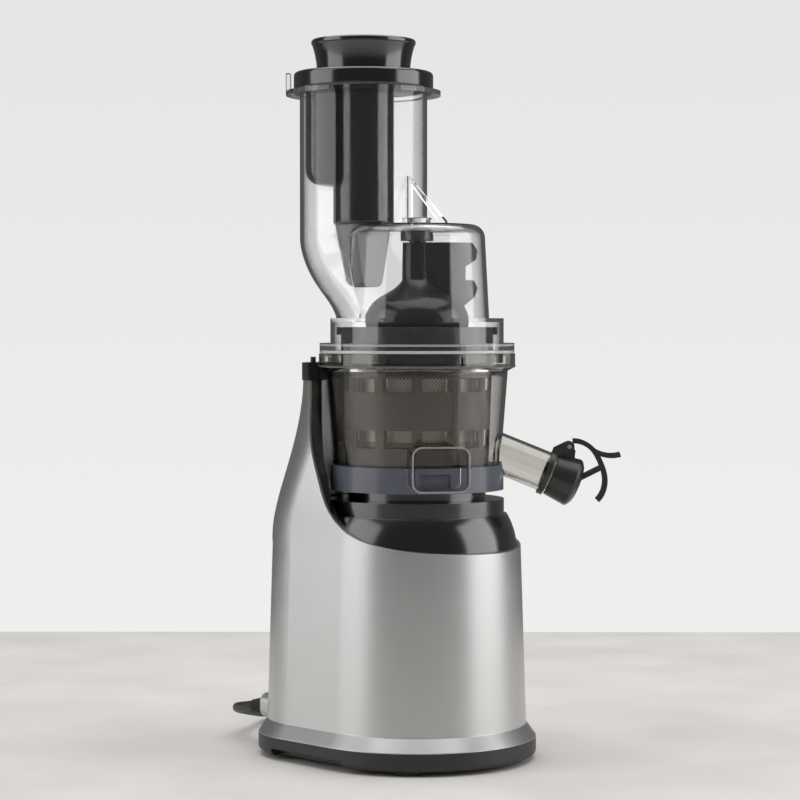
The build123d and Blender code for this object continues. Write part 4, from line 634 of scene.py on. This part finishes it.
class JUICER_OT_camera(bpy.types.Operator):
    """Places the camera in front of the left front corner, a little above the middle"""

    bl_idname = "juicer.camera"
    bl_label = "Camera"

    def execute(self, context):
        data = bpy.data.cameras.new("camera")
        data.sensor_width = SENSOR_WIDTH
        data.lens = SENSOR_WIDTH * FOCAL_PIXELS / FRAME_PIXELS
        data.clip_end = 50
        camera = bpy.data.objects.new("camera", data)
        context.scene.collection.objects.link(camera)
        camera.location = at(0, -CAMERA_DISTANCE, CAMERA_HEIGHT)
        look = at(LOOK_RIGHT, FOCAL_PIXELS, LOOK_UP)
        camera.rotation_euler = look.to_track_quat("-Z", "Y").to_euler()
        context.scene.camera = camera
        return {"FINISHED"}


def lamp(name, place, target, wide, tall, power):
    """A soft rectangular lamp turned towards a point."""
    data = bpy.data.lights.new(name, "AREA")
    data.shape = "RECTANGLE"
    data.size, data.size_y = wide, tall
    data.energy = power
    made = bpy.data.objects.new(name, data)
    bpy.context.scene.collection.objects.link(made)
    made.location = place
    made.rotation_euler = (target - place).to_track_quat("-Z", "Y").to_euler()


WORKTOP_SIDE, WORKTOP_FRONT, WORKTOP_BACK = 2.4, 2.6, 0.66
BACKDROP = ((0.45, (0.86, 0.86, 0.855, 1)), (0.62, (0.75, 0.75, 0.745, 1)))  # place, colour


class JUICER_OT_stage(bpy.types.Operator):
    """Makes the worktop, the pale backdrop and the lamps"""

    bl_idname = "juicer.stage"
    bl_label = "Stage"

    def execute(self, context):
        stone = tuple(context.scene.juicer_colours.stone)
        corners = np.array([[at(side, away, 0) for side in (-WORKTOP_SIDE, WORKTOP_SIDE)]
                            for away in (-WORKTOP_FRONT, WORKTOP_BACK)])
        top = grid_mesh("worktop", corners, closed_u=False, smooth=False)
        material, tree, shader = new_material("pale_stone")
        cloud = noise(tree, 9.0, 6.0)
        tree.links.new(mottled(tree, cloud, stone, 0.05), shader.inputs["Base Color"])
        tree.links.new(between(tree, cloud, 0.44, 0.56), shader.inputs["Roughness"])
        shader.inputs["Specular IOR Level"].default_value = 0.35
        bumped(tree, shader, noise(tree, 300.0, 3.0), 0.03, 0.0003)
        top.data.materials.append(material)

        world = bpy.data.worlds.new("studio")
        context.scene.world = world
        world.use_nodes = True
        tree = world.node_tree
        sky = tree.nodes["Background"]
        output = tree.nodes["World Output"]
        place = node(tree, "ShaderNodeTexCoord")
        split = node(tree, "ShaderNodeSeparateXYZ")
        tree.links.new(place.outputs["Generated"], split.inputs["Vector"])
        fade = node(tree, "ShaderNodeValToRGB")
        for stop, (position, colour) in zip(fade.color_ramp.elements, BACKDROP):
            stop.position = position
            stop.color = colour
        shift = node(tree, "ShaderNodeMath", operation="MULTIPLY_ADD")
        shift.inputs[1].default_value = 0.5
        shift.inputs[2].default_value = 0.5
        tree.links.new(split.outputs["Z"], shift.inputs[0])
        tree.links.new(shift.outputs["Value"], fade.inputs["Fac"])
        tree.links.new(fade.outputs["Color"], sky.inputs["Color"])
        sky.inputs["Strength"].default_value = 1.0
        room = node(tree, "ShaderNodeBackground", Color=(0.9, 0.91, 0.93, 1), Strength=0.11)
        # The pale backdrop is seen directly or straight through clear walls, never in a reflection.
        path = node(tree, "ShaderNodeLightPath")
        direct = node(tree, "ShaderNodeMath", operation="LESS_THAN")
        direct.inputs[1].default_value = 0.5
        through = node(tree, "ShaderNodeMath", operation="MULTIPLY")
        seen = node(tree, "ShaderNodeMath", operation="MAXIMUM")
        tree.links.new(path.outputs["Glossy Depth"], direct.inputs[0])
        tree.links.new(path.outputs["Is Transmission Ray"], through.inputs[0])
        tree.links.new(direct.outputs["Value"], through.inputs[1])
        tree.links.new(path.outputs["Is Camera Ray"], seen.inputs[0])
        tree.links.new(through.outputs["Value"], seen.inputs[1])
        mix = node(tree, "ShaderNodeMixShader")
        tree.links.new(seen.outputs["Value"], mix.inputs["Fac"])
        tree.links.new(room.outputs["Background"], mix.inputs[1])
        tree.links.new(sky.outputs["Background"], mix.inputs[2])
        tree.links.new(mix.outputs["Shader"], output.inputs["Surface"])

        middle = Vector((0, 0, 0.24))
        lamp("left_softbox", at(-2.25, -0.65, 0.81), middle, wide=1.9, tall=2.5, power=26)
        lamp("right_softbox", at(2.3, -0.36, 0.66), middle, wide=2.0, tall=2.5, power=35)
        lamp("ceiling", at(0.0, 0.1, 2.0), middle, wide=2.6, tall=2.2, power=37)
        context.scene.view_settings.view_transform = "Standard"
        return {"FINISHED"}


# ------------------------------------------------------------------ panel
OPERATORS = (
    JUICER_OT_camera,
    JUICER_OT_lead,
    JUICER_OT_housing_finish,
    JUICER_OT_drive_finish,
    JUICER_OT_juicing_finish,
    JUICER_OT_strain_relief,
    JUICER_OT_strainer_screen,
    JUICER_OT_collar_beads,
    JUICER_OT_stage,
)


class JUICER_PT_panel(bpy.types.Panel):
    """Lists the juicer's operators and sizes"""

    bl_label = "Juicer"
    bl_idname = "JUICER_PT_panel"
    bl_space_type = "VIEW_3D"
    bl_region_type = "UI"
    bl_category = "Juicer"

    def draw(self, context):
        for group in (context.scene.juicer_sizes, context.scene.juicer_colours):
            for key in group.bl_rna.properties.keys():
                if key not in ("rna_type", "name"):
                    self.layout.prop(group, key)
        for operator in OPERATORS:
            self.layout.operator(operator.bl_idname)


CLASSES = (JuicerSizes, JuicerColours, *OPERATORS, JUICER_PT_panel)


def register():
    """Registers the classes and the scene's settings."""
    for item in CLASSES:
        bpy.utils.register_class(item)
    bpy.types.Scene.juicer_sizes = bpy.props.PointerProperty(type=JuicerSizes)
    bpy.types.Scene.juicer_colours = bpy.props.PointerProperty(type=JuicerColours)


def unregister():
    """Removes the settings and the classes."""
    del bpy.types.Scene.juicer_colours
    del bpy.types.Scene.juicer_sizes
    for item in reversed(CLASSES):
        bpy.utils.unregister_class(item)


def main():
    """Makes every piece in order."""
    register()
    for operator in OPERATORS:
        group, name = operator.bl_idname.split(".")
        getattr(getattr(bpy.ops, group), name)()


if __name__ == "__main__":
    main()
